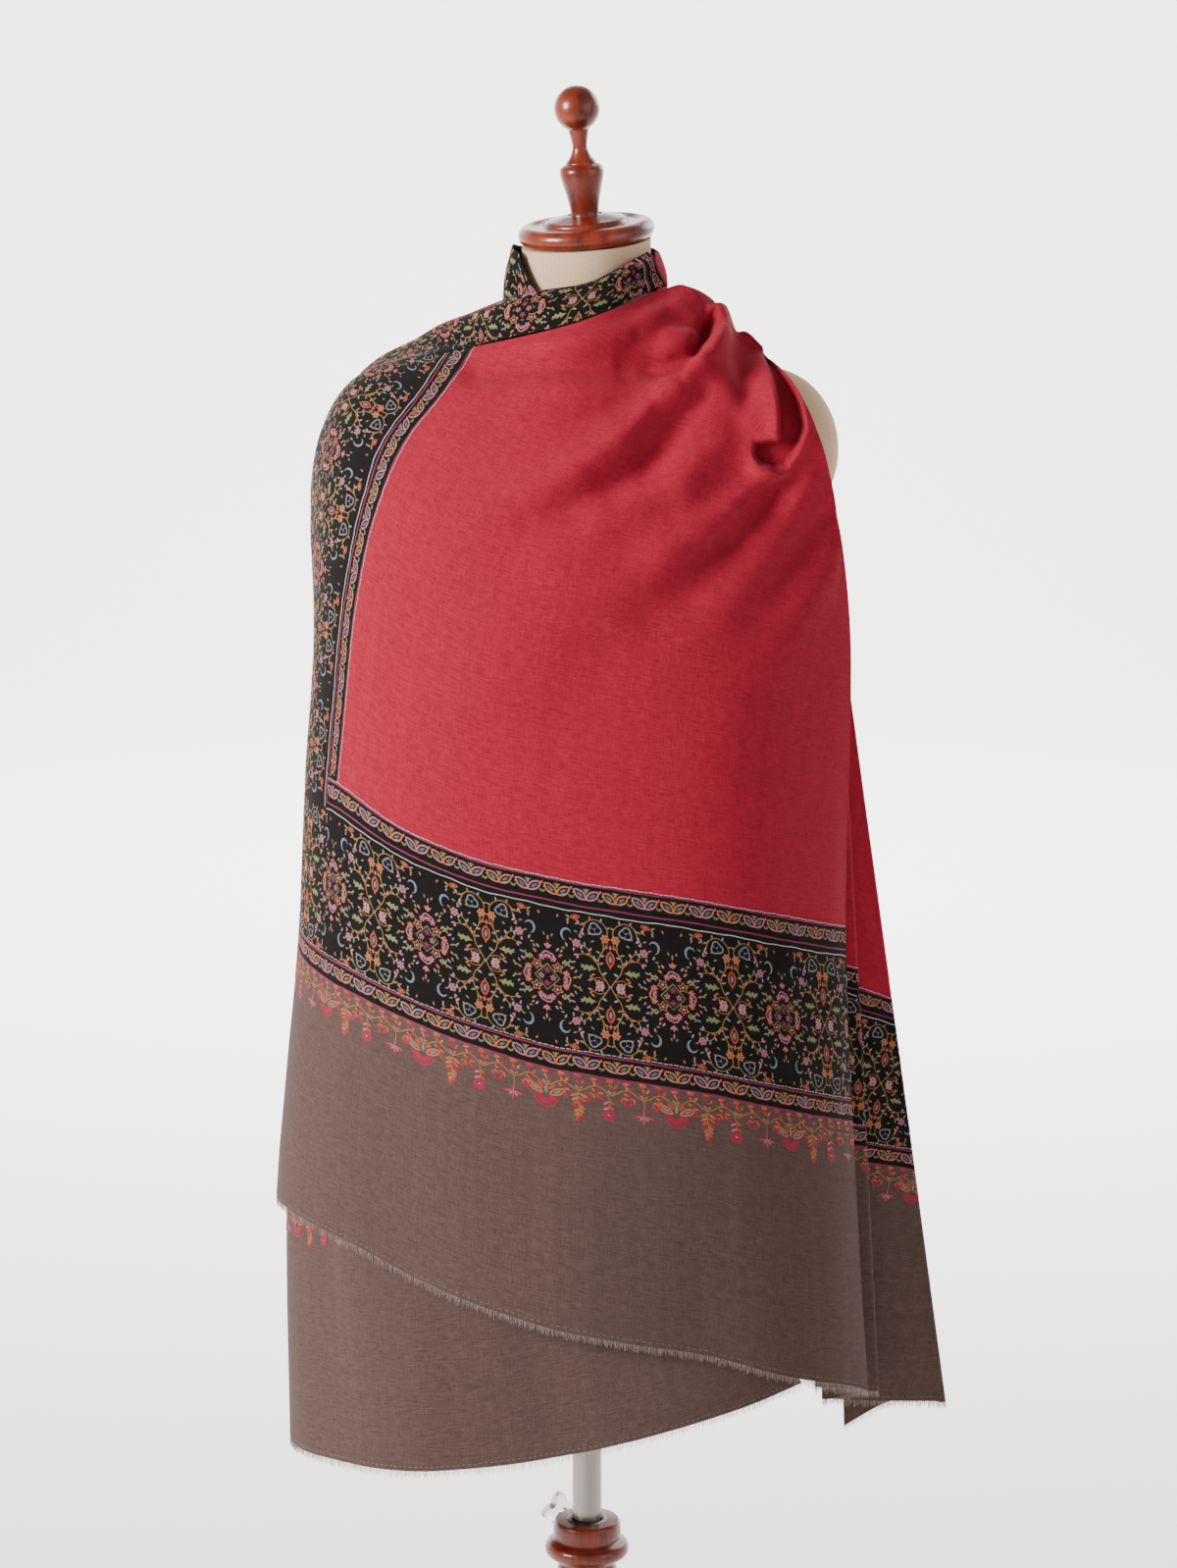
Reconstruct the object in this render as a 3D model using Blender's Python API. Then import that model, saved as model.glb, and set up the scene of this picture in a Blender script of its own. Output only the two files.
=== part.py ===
"""Pashmina shawl draped on a limbless dress form with a turned stand.

Metres, +Z up. The origin is at the middle of the stand's foot. The form faces -Y, its left is +X.
The cloth is worked out in a frame turned with the drape: "across" runs to the drape's right,
"toward" runs out of its front and "up" is height. An angle of 0 is the drape's front, +90 its right.
"""
import math

import bmesh
import bpy
from mathutils import Matrix, Vector

# Driving sizes
DRAPE_TURN = math.radians(27.0)
WALL = 0.0012
SEAM_GAP = 0.0005
POLE_RADIUS = 0.0127
POLE_FOOT = 0.240
POLE_HEAD = 0.790
BORE_CLEARANCE = 0.0008
SOCKET_TOP = 0.416
BORE_BOTTOM = 0.100
BASE_RADIUS = 0.175
FORM_BOTTOM = 0.720
NECK_FOOT = 1.447
NECK_TOP = 1.511
CAP_RADIUS = 0.056
CAP_TILT = math.radians(9.7)
KNOB_AWAY = 0.050
KNOB_HEIGHT = 0.4060
KNOB_RADIUS = 0.0175
KNOB_BEARING = math.radians(-151.0)
ARM_CENTRE = Vector((0.155, 0.015, 1.345))
ARM_HALF = Vector((0.060, 0.050, 0.066))
KNEE = 1.300
FRINGE_DROP = 0.0075
FRINGE_STRIP = 0.0016
FRINGE_PITCH = 0.018
LOCK_WIDTH = 0.0030
SHORT_CELL = 0.0060
HEM_GAP = 0.0004
LINER_OUTER = 0.0178
LINER_FOOT = 0.4120
SCREW_RADIUS = 0.0030
KNOB_LOBES = 4

# The rolled border: its gap to the top layer's edge and how far it lies off the form
BAND_EDGE_GAP = 0.0018
BAND_CLEAR = 0.0150

# The collar: how near to the neck its seat reaches, and how its lower edge sits on the layers below
COLLAR_REACH = 0.085
COLLAR_TUCK = 0.980
COLLAR_LIFT = 0.0010

# The folds at the drape's right: where they start, where they begin to open out, the lowest point,
# and how many walls behind the top layer's outer face they are seated
FALL_TOP = 1.285
FALL_SPREAD_TOP = 1.170
FALL_SPREAD_LOW = 0.512
FALL_STRAIGHT = 1.149
SEAT_WALLS = 1.75
TURN_RADIUS = 0.0036
TOP_TURN_RADIUS = 0.0020
RIGHT_FOLD_PULL = 0.80

# The radius at which the folds' angles are turned into lengths
FOLD_RADIUS = 0.19

# The covered arm cap pushes the rings out at its own bearing, in degrees
ARM_BEARING = -117.0
ARM_SWELL = 0.034
ARM_SWELL_WIDE = 24.0

# How square the rings are: 2 is an ellipse
RING_SQUARE = 2.3
FORM_SQUARE = 2.15

# The form's level sections: half width, front depth and back depth at each height
FORM_SECTIONS = (
    dict(up=0.720, half=0.146, front=0.094, back=0.108),
    dict(up=0.780, half=0.160, front=0.100, back=0.120),
    dict(up=0.860, half=0.168, front=0.104, back=0.126),
    dict(up=0.960, half=0.148, front=0.098, back=0.106),
    dict(up=1.060, half=0.118, front=0.092, back=0.082),
    dict(up=1.140, half=0.132, front=0.104, back=0.084),
    dict(up=1.220, half=0.150, front=0.128, back=0.092),
    dict(up=1.290, half=0.158, front=0.118, back=0.100),
    dict(up=1.350, half=0.168, front=0.092, back=0.100),
    dict(up=1.392, half=0.164, front=0.070, back=0.086),
    dict(up=1.415, half=0.138, front=0.060, back=0.070),
    dict(up=1.432, half=0.100, front=0.054, back=0.062),
    dict(up=1.447, half=0.064, front=0.052, back=0.056),
    dict(up=1.467, half=0.0535, front=0.052, back=0.050),
    dict(up=NECK_TOP, half=0.0520, front=0.0545, back=0.0485),
)

# The hanging cloth's level rings: reach to the drape's left, right, front and back
HANG_RINGS = (
    dict(up=1.330, left=0.2035, right=0.196, front=0.128, back=0.140),
    dict(up=1.230, left=0.2145, right=0.208, front=0.150, back=0.146),
    dict(up=1.150, left=0.2200, right=0.212, front=0.154, back=0.150),
    dict(up=1.080, left=0.2260, right=0.212, front=0.155, back=0.154),
    dict(up=0.935, left=0.2340, right=0.212, front=0.160, back=0.160),
    dict(up=0.807, left=0.2470, right=0.220, front=0.168, back=0.168),
    dict(up=0.700, left=0.2560, right=0.228, front=0.174, back=0.176),
    dict(up=0.480, left=0.2560, right=0.243, front=0.176, back=0.186),
)

# Columns of cloth from the turned-down left edge to the right fold of the top layer: the top point,
# how domed the run over the shoulder is, the angle at the knee and at the hem, and the hem's height
FRONT_COLUMNS = (
    dict(u=0.00, across=-0.199, toward=-0.050, up=1.384, dome=0.9, knee=-98, hem=-99, hem_up=0.710),
    dict(u=0.06, across=-0.192, toward=-0.026, up=1.397, dome=0.9, knee=-88, hem=-88, hem_up=0.712),
    dict(u=0.16, across=-0.1765, toward=-0.004, up=1.408, dome=0.8, knee=-73, hem=-73, hem_up=0.715),
    dict(u=0.28, across=-0.1375, toward=0.024, up=1.418, dome=0.6, knee=-56, hem=-56, hem_up=0.705),
    dict(u=0.40, across=-0.092, toward=0.054, up=1.427, dome=0.45, knee=-38, hem=-38, hem_up=0.678),
    dict(u=0.54, across=-0.0195, toward=0.086, up=1.444, dome=0.35, knee=-13, hem=-13, hem_up=0.651),
    dict(u=0.65, across=0.019, toward=0.080, up=1.457, dome=0.3, knee=8, hem=9, hem_up=0.635),
    dict(u=0.76, across=0.0655, toward=0.042, up=1.4735, dome=0.35, knee=29, hem=31, hem_up=0.618),
    dict(u=0.86, across=0.093, toward=0.046, up=1.466, dome=0.4, knee=45, hem=49, hem_up=0.592),
    dict(u=0.94, across=0.120, toward=0.048, up=1.443, dome=0.45, knee=56, hem=62, hem_up=0.572),
    dict(u=1.00, across=0.142, toward=0.052, up=1.421, dome=0.5, knee=64, hem=73, hem_up=0.552),
)

# The lower layer in front, from the drape's left side to its free edge under the top layer
UNDER_COLUMNS = (
    dict(u=0.00, across=-0.0725, toward=-0.012, up=1.453, dome=1.0, knee=-98, hem=-98, hem_up=0.494),
    dict(u=0.30, across=-0.0715, toward=0.018, up=1.454, dome=0.7, knee=-76, hem=-66, hem_up=0.508),
    dict(u=0.65, across=-0.0600, toward=0.044, up=1.456, dome=0.4, knee=-50, hem=-10, hem_up=0.533),
    dict(u=1.00, across=-0.0450, toward=0.060, up=1.458, dome=0.3, knee=-26, hem=54, hem_up=0.582),
)

# The back, from its slanting free edge at the drape's right shoulder round to the left side
BACK_COLUMNS = (
    dict(u=0.00, across=0.142, toward=0.052, up=1.421, dome=0.5, knee=122, hem=168, hem_up=0.486),
    dict(u=0.10, across=0.120, toward=0.048, up=1.443, dome=0.5, knee=131, hem=176, hem_up=0.484),
    dict(u=0.20, across=0.093, toward=0.046, up=1.466, dome=0.5, knee=142, hem=184, hem_up=0.482),
    dict(u=0.28, across=0.0655, toward=0.042, up=1.4735, dome=0.5, knee=150, hem=190, hem_up=0.481),
    dict(u=0.38, across=0.0720, toward=0.004, up=1.463, dome=0.45, knee=162, hem=199, hem_up=0.480),
    dict(u=0.52, across=0.047, toward=-0.056, up=1.459, dome=0.45, knee=178, hem=210, hem_up=0.480),
    dict(u=0.70, across=-0.012, toward=-0.0725, up=1.456, dome=0.8, knee=207, hem=227, hem_up=0.484),
    dict(u=0.86, across=-0.054, toward=-0.049, up=1.454, dome=1.0, knee=240, hem=245, hem_up=0.489),
    dict(u=1.00, across=-0.0725, toward=-0.013, up=1.453, dome=1.0, knee=261.6, hem=261.6, hem_up=0.494),
)

# The border roll from the neck's right across the throat to the left shoulder: its upper edge, the
# place of its lower edge along the top layer's upper edge, and how far it stands up between them
BAND_COLUMNS = (
    dict(u=0.00, across=0.0490, toward=0.0330, up=1.5030, lower_u=0.76, high=0.002),
    dict(u=0.16, across=0.0250, toward=0.0540, up=1.4900, lower_u=0.67, high=0.003),
    dict(u=0.30, across=-0.0020, toward=0.0620, up=1.4780, lower_u=0.56, high=0.005),
    dict(u=0.46, across=-0.0500, toward=0.0565, up=1.4700, lower_u=0.46, high=0.008),
    dict(u=0.60, across=-0.0850, toward=-0.0060, up=1.4560, lower_u=0.38, high=0.010),
    dict(u=0.78, across=-0.1290, toward=-0.0700, up=1.4330, lower_u=0.26, high=0.012),
    dict(u=0.92, across=-0.1680, toward=-0.0920, up=1.4130, lower_u=0.13, high=0.010),
    dict(u=1.00, across=-0.1940, toward=-0.0900, up=1.3920, lower_u=0.03, high=0.006),
)

# The collar's upper edge round the neck, by angle
COLLAR_TOP = (
    dict(angle=68.0, radius=0.0595, up=1.503),
    dict(angle=87.0, radius=0.0595, up=1.504),
    dict(angle=140.0, radius=0.0600, up=1.506),
    dict(angle=189.0, radius=0.0600, up=1.508),
    dict(angle=260.0, radius=0.0605, up=1.507),
    dict(angle=312.0, radius=0.0600, up=1.500),
)

# The folds at the drape's right behind the top layer: each turn's side, its place at the top of the
# fall and at the hem, and the hem's height there
FALL_TURNS = (
    dict(name="tuck", side=-1, top_across=0.200, top_toward=0.050, across=0.198, toward=0.044, up=0.551),
    dict(name="second_fold", side=1, top_across=0.207, top_toward=0.044,
         across=0.2474, toward=0.033, up=0.542),
    dict(name="second_tuck", side=-1, top_across=0.202, top_toward=0.038,
         across=0.2060, toward=0.020, up=0.530),
    dict(name="last_fold", side=1, top_across=0.211, top_toward=0.031,
         across=0.3090, toward=-0.022, up=0.512),
)
FALL_START = dict(top_across=0.204, top_toward=0.054, across=0.2320, toward=0.050, up=0.552)
FALL_END = dict(top_across=0.196, top_toward=0.022, across=0.2245, toward=-0.042, up=0.484)

# The top layer's right fold, from the shoulder's crest down past the arm to the hem
RIGHT_FOLD = (
    dict(up=1.421, across=0.1420, toward=0.052),
    dict(up=1.397, across=0.1610, toward=0.098),
    dict(up=1.363, across=0.1820, toward=0.116),
    dict(up=1.344, across=0.1885, toward=0.112),
    dict(up=1.310, across=0.1980, toward=0.099),
    dict(up=1.226, across=0.2116, toward=0.078),
    dict(up=1.149, across=0.2156, toward=0.066),
    dict(up=0.954, across=0.2140, toward=0.060),
    dict(up=0.784, across=0.2222, toward=0.060),
    dict(up=0.650, across=0.2304, toward=0.060),
    dict(up=0.540, across=0.2390, toward=0.060),
)

# Soft folds of the top layer, from place a to place b: ridges above zero, troughs below
FRONT_FOLDS = (
    dict(angle_a=50, up_a=1.445, angle_b=4, up_b=1.345,
         high_a=-0.010, high_b=-0.003, wide_a=0.008, wide_b=0.030),
    dict(angle_a=44, up_a=1.462, angle_b=-14, up_b=1.385,
         high_a=0.007, high_b=0.002, wide_a=0.010, wide_b=0.030),
    dict(angle_a=57, up_a=1.425, angle_b=18, up_b=1.300,
         high_a=0.009, high_b=0.004, wide_a=0.010, wide_b=0.030),
    dict(angle_a=60, up_a=1.415, angle_b=34, up_b=1.240,
         high_a=-0.008, high_b=-0.003, wide_a=0.009, wide_b=0.034),
    dict(angle_a=60, up_a=1.405, angle_b=50, up_b=1.270,
         high_a=0.008, high_b=0.004, wide_a=0.009, wide_b=0.024),
    dict(angle_a=63, up_a=1.415, angle_b=58, up_b=1.330,
         high_a=-0.008, high_b=-0.009, wide_a=0.007, wide_b=0.013),
    dict(angle_a=12, up_a=1.260, angle_b=-30, up_b=1.060,
         high_a=-0.002, high_b=-0.002, wide_a=0.040, wide_b=0.060),
    dict(angle_a=66, up_a=1.150, angle_b=60, up_b=0.600,
         high_a=0.001, high_b=0.005, wide_a=0.020, wide_b=0.035),
    dict(angle_a=40, up_a=1.000, angle_b=30, up_b=0.620,
         high_a=-0.001, high_b=-0.005, wide_a=0.030, wide_b=0.045),
    dict(angle_a=0, up_a=0.950, angle_b=-4, up_b=0.640,
         high_a=0.001, high_b=0.004, wide_a=0.030, wide_b=0.045),
    dict(angle_a=-46, up_a=1.000, angle_b=-44, up_b=0.680,
         high_a=0.000, high_b=-0.005, wide_a=0.030, wide_b=0.035),
)

# Soft folds of the lower layer in front
UNDER_FOLDS = (
    dict(angle_a=-56, up_a=0.760, angle_b=-44, up_b=0.500,
         high_a=0.004, high_b=0.006, wide_a=0.022, wide_b=0.030),
    dict(angle_a=-68, up_a=0.800, angle_b=-62, up_b=0.520,
         high_a=-0.006, high_b=-0.003, wide_a=0.020, wide_b=0.028),
    dict(angle_a=-16, up_a=0.700, angle_b=-10, up_b=0.530,
         high_a=-0.002, high_b=-0.004, wide_a=0.030, wide_b=0.040),
)

# Folds of the back, fanning from the gathered shoulder and hanging at the left
BACK_FOLDS = (
    dict(angle_a=112, up_a=1.400, angle_b=150, up_b=1.100,
         high_a=0.010, high_b=0.006, wide_a=0.012, wide_b=0.030),
    dict(angle_a=122, up_a=1.410, angle_b=166, up_b=1.120,
         high_a=-0.010, high_b=-0.005, wide_a=0.012, wide_b=0.032),
    dict(angle_a=128, up_a=1.420, angle_b=186, up_b=1.180,
         high_a=0.009, high_b=0.004, wide_a=0.012, wide_b=0.032),
    dict(angle_a=136, up_a=1.435, angle_b=206, up_b=1.260,
         high_a=-0.008, high_b=-0.003, wide_a=0.012, wide_b=0.030),
    dict(angle_a=146, up_a=1.442, angle_b=222, up_b=1.340,
         high_a=0.006, high_b=0.002, wide_a=0.012, wide_b=0.026),
    dict(angle_a=176, up_a=1.050, angle_b=186, up_b=0.500,
         high_a=0.003, high_b=0.012, wide_a=0.020, wide_b=0.024),
    dict(angle_a=192, up_a=1.020, angle_b=200, up_b=0.500,
         high_a=-0.002, high_b=-0.012, wide_a=0.020, wide_b=0.024),
    dict(angle_a=214, up_a=1.000, angle_b=216, up_b=0.500,
         high_a=0.002, high_b=0.010, wide_a=0.022, wide_b=0.026),
    dict(angle_a=232, up_a=0.980, angle_b=233, up_b=0.500,
         high_a=-0.002, high_b=-0.009, wide_a=0.020, wide_b=0.026),
)


def smooth(t):
    t = min(max(t, 0.0), 1.0)
    return t * t * (3.0 - 2.0 * t)


def lerp(a, b, t):
    return a + (b - a) * t


def table_value(rows, key, name, at):
    """A column of a table read at any value of its key column, on a smooth curve through the rows."""
    order = sorted(rows, key=lambda row: row[key])
    if at <= order[0][key]:
        return order[0][name]
    if at >= order[-1][key]:
        return order[-1][name]
    k = next(i for i in range(len(order) - 1) if at <= order[i + 1][key])
    before = order[max(k - 1, 0)]
    low, high = order[k], order[k + 1]
    after = order[min(k + 2, len(order) - 1)]
    span = high[key] - low[key]
    t = (at - low[key]) / span
    run_low = high[key] - before[key]
    run_high = after[key] - low[key]
    slope_low = (high[name] - before[name]) / run_low * span
    slope_high = (after[name] - low[name]) / run_high * span
    t2, t3 = t * t, t * t * t
    return ((2 * t3 - 3 * t2 + 1) * low[name] + (t3 - 2 * t2 + t) * slope_low
            + (3 * t2 - 2 * t3) * high[name] + (t3 - t2) * slope_high)


def drape_point(across, toward, up):
    """A point of the drape's own frame, in the form's frame."""
    c, s = math.cos(DRAPE_TURN), math.sin(DRAPE_TURN)
    return Vector((across * c + toward * s, across * s - toward * c, up))


def ring_point(angle, up, out=0.0):
    """Across and toward of the hanging cloth at an angle in degrees and a height, moved out a little."""
    side = "right" if math.sin(math.radians(angle)) >= 0 else "left"
    face = "front" if math.cos(math.radians(angle)) >= 0 else "back"
    a = table_value(HANG_RINGS, "up", side, up) + out
    b = table_value(HANG_RINGS, "up", face, up) + out
    s, c = math.sin(math.radians(angle)), math.cos(math.radians(angle))
    r = ((abs(s) / a) ** RING_SQUARE + (abs(c) / b) ** RING_SQUARE) ** (-1.0 / RING_SQUARE)
    off = (angle - ARM_BEARING + 180.0) % 360.0 - 180.0
    r += ARM_SWELL * math.exp(-(off / ARM_SWELL_WIDE) ** 2) * smooth((up - 1.17) / 0.13)
    return r * s, r * c


def form_level(p):
    """Below zero inside the form's trunk, above zero outside it."""
    up = min(max(p.z, FORM_BOTTOM), NECK_TOP)
    a = table_value(FORM_SECTIONS, "up", "half", up)
    b = table_value(FORM_SECTIONS, "up", "front" if p.y < 0 else "back", up)
    return ((abs(p.x) / a) ** FORM_SQUARE + (abs(p.y) / b) ** FORM_SQUARE) ** (1 / FORM_SQUARE) - 1.0


def arm_level(p):
    """The same for the nearer of the two closed arm caps."""
    q = Vector((abs(p.x), p.y, p.z)) - ARM_CENTRE
    return math.sqrt((q.x / ARM_HALF.x) ** 2 + (q.y / ARM_HALF.y) ** 2 + (q.z / ARM_HALF.z) ** 2) - 1.0


def nearest_form(p):
    """How far a point is from the form, and the way out of it."""
    best = None
    step = 0.0005
    for level in (form_level, arm_level):
        here = level(p)
        slope = Vector([(level(p + Vector(d) * step) - level(p - Vector(d) * step)) / (2 * step)
                        for d in ((1, 0, 0), (0, 1, 0), (0, 0, 1))])
        size = max(slope.length, 1.0)
        if best is None or here / size < best[0]:
            best = (here / size, slope / size)
    return best


def settle(p, least, most=1.0):
    """A point moved so that its distance from the form lies between two values."""
    for _ in range(10):
        gap, way = nearest_form(p)
        if gap < least:
            p = p + way * (least - gap)
        elif gap > most:
            p = p + way * (most - gap)
        else:
            break
    return p


def fold_height(folds, angle, up):
    """Sum of the soft ridges and troughs at a place on the cloth, in metres."""
    total = 0.0
    for fold in folds:
        ax, ay = math.radians(fold["angle_a"]) * FOLD_RADIUS, fold["up_a"]
        bx, by = math.radians(fold["angle_b"]) * FOLD_RADIUS, fold["up_b"]
        px, py = math.radians(angle) * FOLD_RADIUS, up
        dx, dy = bx - ax, by - ay
        along = ((px - ax) * dx + (py - ay) * dy) / (dx * dx + dy * dy)
        t = min(max(along, 0.0), 1.0)
        length = math.hypot(dx, dy)
        off = abs((px - ax) * dy - (py - ay) * dx) / length
        beyond = max(-along, along - 1.0, 0.0) * length
        width = lerp(fold["wide_a"], fold["wide_b"], t)
        height = lerp(fold["high_a"], fold["high_b"], t)
        total += height * math.exp(-(off / width) ** 2 - (beyond / (0.8 * width)) ** 2)
    return total


def column_values(columns, u):
    return {name: table_value(columns, "u", name, u) for name in columns[0]}


def draped_grid(columns, folds, across_count, dome_rows, hang_rows, out, least, hug):
    """Outer points of a layer: a run over the shoulder down to the knee, then the hanging part."""
    grid, places = [], []
    for i in range(across_count + 1):
        col = column_values(columns, i / across_count)
        line, marks = [], []
        knee = ring_point(col["knee"], KNEE, out)
        for j in range(dome_rows):
            s = j / dome_rows
            over = lerp(s, math.sin(math.pi / 2 * s), col["dome"])
            down = lerp(s, 1 - math.cos(math.pi / 2 * s), col["dome"])
            across = lerp(col["across"], knee[0], over)
            toward = lerp(col["toward"], knee[1], over)
            up = lerp(col["up"], KNEE, down)
            most = lerp(hug, 0.08, smooth((s - 0.35) / 0.65)) if hug else 1.0
            line.append(settle(drape_point(across, toward, up), least, most))
            marks.append((math.degrees(math.atan2(across, toward)), up, s))
        for j in range(hang_rows + 1):
            t = j / hang_rows
            up = lerp(KNEE, col["hem_up"], t)
            angle = lerp(col["knee"], col["hem"], t)
            line.append(drape_point(*ring_point(angle, up, out), up))
            marks.append((angle, up, 1.0))
        grid.append(line)
        places.append(marks)
    normals = grid_normals(grid)
    for i, line in enumerate(grid):
        for j, p in enumerate(line):
            angle, up, s = places[i][j]
            knee = lerp(columns[0]["knee"], columns[-1]["knee"], 0.5)
            while angle < knee - 180:
                angle += 360
            while angle > knee + 180:
                angle -= 360
            rise = fold_height(folds, angle, up) * smooth(s * 5.0)
            line[j] = settle(p + normals[i][j] * rise, least)
    return grid


def pull_to_right_fold(grid):
    """Brings the last columns of the top layer onto the line of its right fold."""
    last = len(grid) - 1
    moves = []
    for p in grid[last]:
        across = table_value(RIGHT_FOLD, "up", "across", p.z)
        toward = table_value(RIGHT_FOLD, "up", "toward", p.z)
        moves.append(drape_point(across, toward, p.z) - p)
    for i, line in enumerate(grid):
        share = smooth((i / last - RIGHT_FOLD_PULL) / (1.0 - RIGHT_FOLD_PULL))
        for j, move in enumerate(moves):
            line[j] = line[j] + move * share


def grid_normals(grid):
    """Outward directions of a grid whose columns run to the right and whose rows run down."""
    n, m = len(grid), len(grid[0])
    result = []
    for i in range(n):
        line = []
        for j in range(m):
            right = grid[min(i + 1, n - 1)][j] - grid[max(i - 1, 0)][j]
            down = grid[i][min(j + 1, m - 1)] - grid[i][max(j - 1, 0)]
            line.append(down.cross(right).normalized())
        result.append(line)
    return result


def wall_mesh(grid, thick, flat_top):
    """Points and triangles of a closed wall grown inward from a grid of outer points.

    With flat_top the first row grows straight down, so that two walls can meet along it.
    """
    n, m = len(grid), len(grid[0])
    normals = grid_normals(grid)
    if flat_top:
        for line in normals:
            line[0] = Vector((0, 0, 1))
    points = [p for line in grid for p in line]
    points += [p - normals[i][j] * thick for i, line in enumerate(grid) for j, p in enumerate(line)]
    inner = n * m
    faces = []

    def quad(a, b, c, d):
        faces.append((a, b, c))
        faces.append((a, c, d))

    def at(i, j):
        return i * m + j

    for i in range(n - 1):
        for j in range(m - 1):
            a, b, c, d = at(i, j), at(i, j + 1), at(i + 1, j + 1), at(i + 1, j)
            quad(a, b, c, d)
            faces.append((inner + a, inner + c, inner + b))
            faces.append((inner + a, inner + d, inner + c))
    for j in range(m - 1):
        quad(at(0, j + 1), at(0, j), inner + at(0, j), inner + at(0, j + 1))
        quad(at(n - 1, j), at(n - 1, j + 1), inner + at(n - 1, j + 1), inner + at(n - 1, j))
    for i in range(n - 1):
        quad(at(i, 0), at(i + 1, 0), inner + at(i + 1, 0), inner + at(i, 0))
        quad(at(i + 1, m - 1), at(i, m - 1), inner + at(i, m - 1), inner + at(i + 1, m - 1))
    return points, faces


def make_material(name, colour, roughness, metallic=0.0, clear=0.0):
    material = bpy.data.materials.new(name)
    material.use_nodes = True
    shader = material.node_tree.nodes["Principled BSDF"]
    shader.inputs["Base Color"].default_value = (*colour, 1.0)
    shader.inputs["Roughness"].default_value = roughness
    shader.inputs["Metallic"].default_value = metallic
    shader.inputs["Transmission Weight"].default_value = clear
    return material


def add_object(name, points, faces, material, parent=None):
    mesh = bpy.data.meshes.new(name)
    mesh.from_pydata([tuple(p) for p in points], [], faces)
    mesh.materials.append(material)
    obj = bpy.data.objects.new(name, mesh)
    bpy.context.scene.collection.objects.link(obj)
    if parent:
        obj.parent = parent
    return obj


def add_cloth(name, grid, material, flat_top=False):
    points, faces = wall_mesh(grid, WALL, flat_top)
    obj = add_object(name, points, faces, material)
    obj.data.shade_smooth()
    obj.data.set_sharp_from_angle(angle=math.radians(50))
    return obj


def add_lathe(name, profile, sides, material):
    """A turned solid from (radius, height) points that start and end on the axis, bottom to top."""
    points, rows = [], []
    for radius, up in profile:
        if radius < 1e-6:
            rows.append([len(points)])
            points.append(Vector((0, 0, up)))
            continue
        rows.append(list(range(len(points), len(points) + sides)))
        for k in range(sides):
            a = 2 * math.pi * k / sides
            points.append(Vector((radius * math.cos(a), radius * math.sin(a), up)))
    faces = []
    for low, high in zip(rows, rows[1:]):
        for k in range(sides):
            q = (k + 1) % sides
            if len(low) == 1 and len(high) > 1:
                faces.append((low[0], high[q], high[k]))
            elif len(high) == 1 and len(low) > 1:
                faces.append((low[k], low[q], high[0]))
            else:
                faces.append((low[k], low[q], high[q], high[k]))
    obj = add_object(name, points, faces, material)
    obj.data.shade_smooth()
    obj.data.set_sharp_from_angle(angle=math.radians(35))
    return obj


def arc_profile(centre_radius, centre_up, radius, start, end, count):
    """Points of a round stretch of a turned profile, angles in degrees from the outward direction."""
    result = []
    for k in range(count + 1):
        a = math.radians(lerp(start, end, k / count))
        result.append((max(centre_radius + radius * math.cos(a), 0.0), centre_up + radius * math.sin(a)))
    return result


def build_stand(wood, steel, dark_steel, acrylic):
    base = [(0.0, 0.0), (BASE_RADIUS - 0.006, 0.0)]
    base += arc_profile(BASE_RADIUS - 0.008, 0.010, 0.008, -70, 80, 5)
    base += [(0.140, 0.0215), (0.075, 0.0285), (0.050, 0.0300), (0.0, 0.0300)]
    add_lathe("stand_base", base, 28, wood)
    bore = POLE_RADIUS + BORE_CLEARANCE
    post = [(0.0, 0.0303), (0.0460, 0.0303), (0.0480, 0.040), (0.0420, 0.052), (0.0300, 0.062),
            (0.0260, 0.080), (0.0290, 0.110), (0.0220, 0.150), (0.0205, 0.180), (0.0240, 0.215),
            (0.0330, 0.262), (0.0350, 0.290), (0.0310, 0.325), (0.0235, 0.352), (0.0225, 0.362),
            (0.0260, 0.370), (0.0240, 0.377), (0.0270, 0.382)]
    post += arc_profile(0.0285, 0.3905, 0.0080, -75, 75, 6)
    post += [(0.0288, 0.4000), (0.0293, 0.4060), (0.0287, 0.4135), (0.0268, SOCKET_TOP),
             (LINER_OUTER + 0.0003, SOCKET_TOP), (LINER_OUTER + 0.0003, LINER_FOOT - 0.0003),
             (bore, LINER_FOOT - 0.0003), (bore, BORE_BOTTOM), (0.0, BORE_BOTTOM)]
    post_obj = add_lathe("stand_post", post, 20, wood)
    liner = [(bore, LINER_FOOT), (LINER_OUTER, LINER_FOOT), (LINER_OUTER, SOCKET_TOP),
             (LINER_OUTER - 0.001, SOCKET_TOP + 0.0006), (bore + 0.001, SOCKET_TOP + 0.0006),
             (bore, SOCKET_TOP - 0.0004)]
    add_ring("socket_liner", liner, 20, dark_steel)
    pole = [(0.0, POLE_FOOT), (POLE_RADIUS - 0.001, POLE_FOOT), (POLE_RADIUS, POLE_FOOT + 0.001),
            (POLE_RADIUS, POLE_HEAD - 0.001), (POLE_RADIUS - 0.001, POLE_HEAD), (0.0, POLE_HEAD)]
    add_lathe("form_pole", pole, 24, steel)
    build_knob(post_obj, acrylic)


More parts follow.
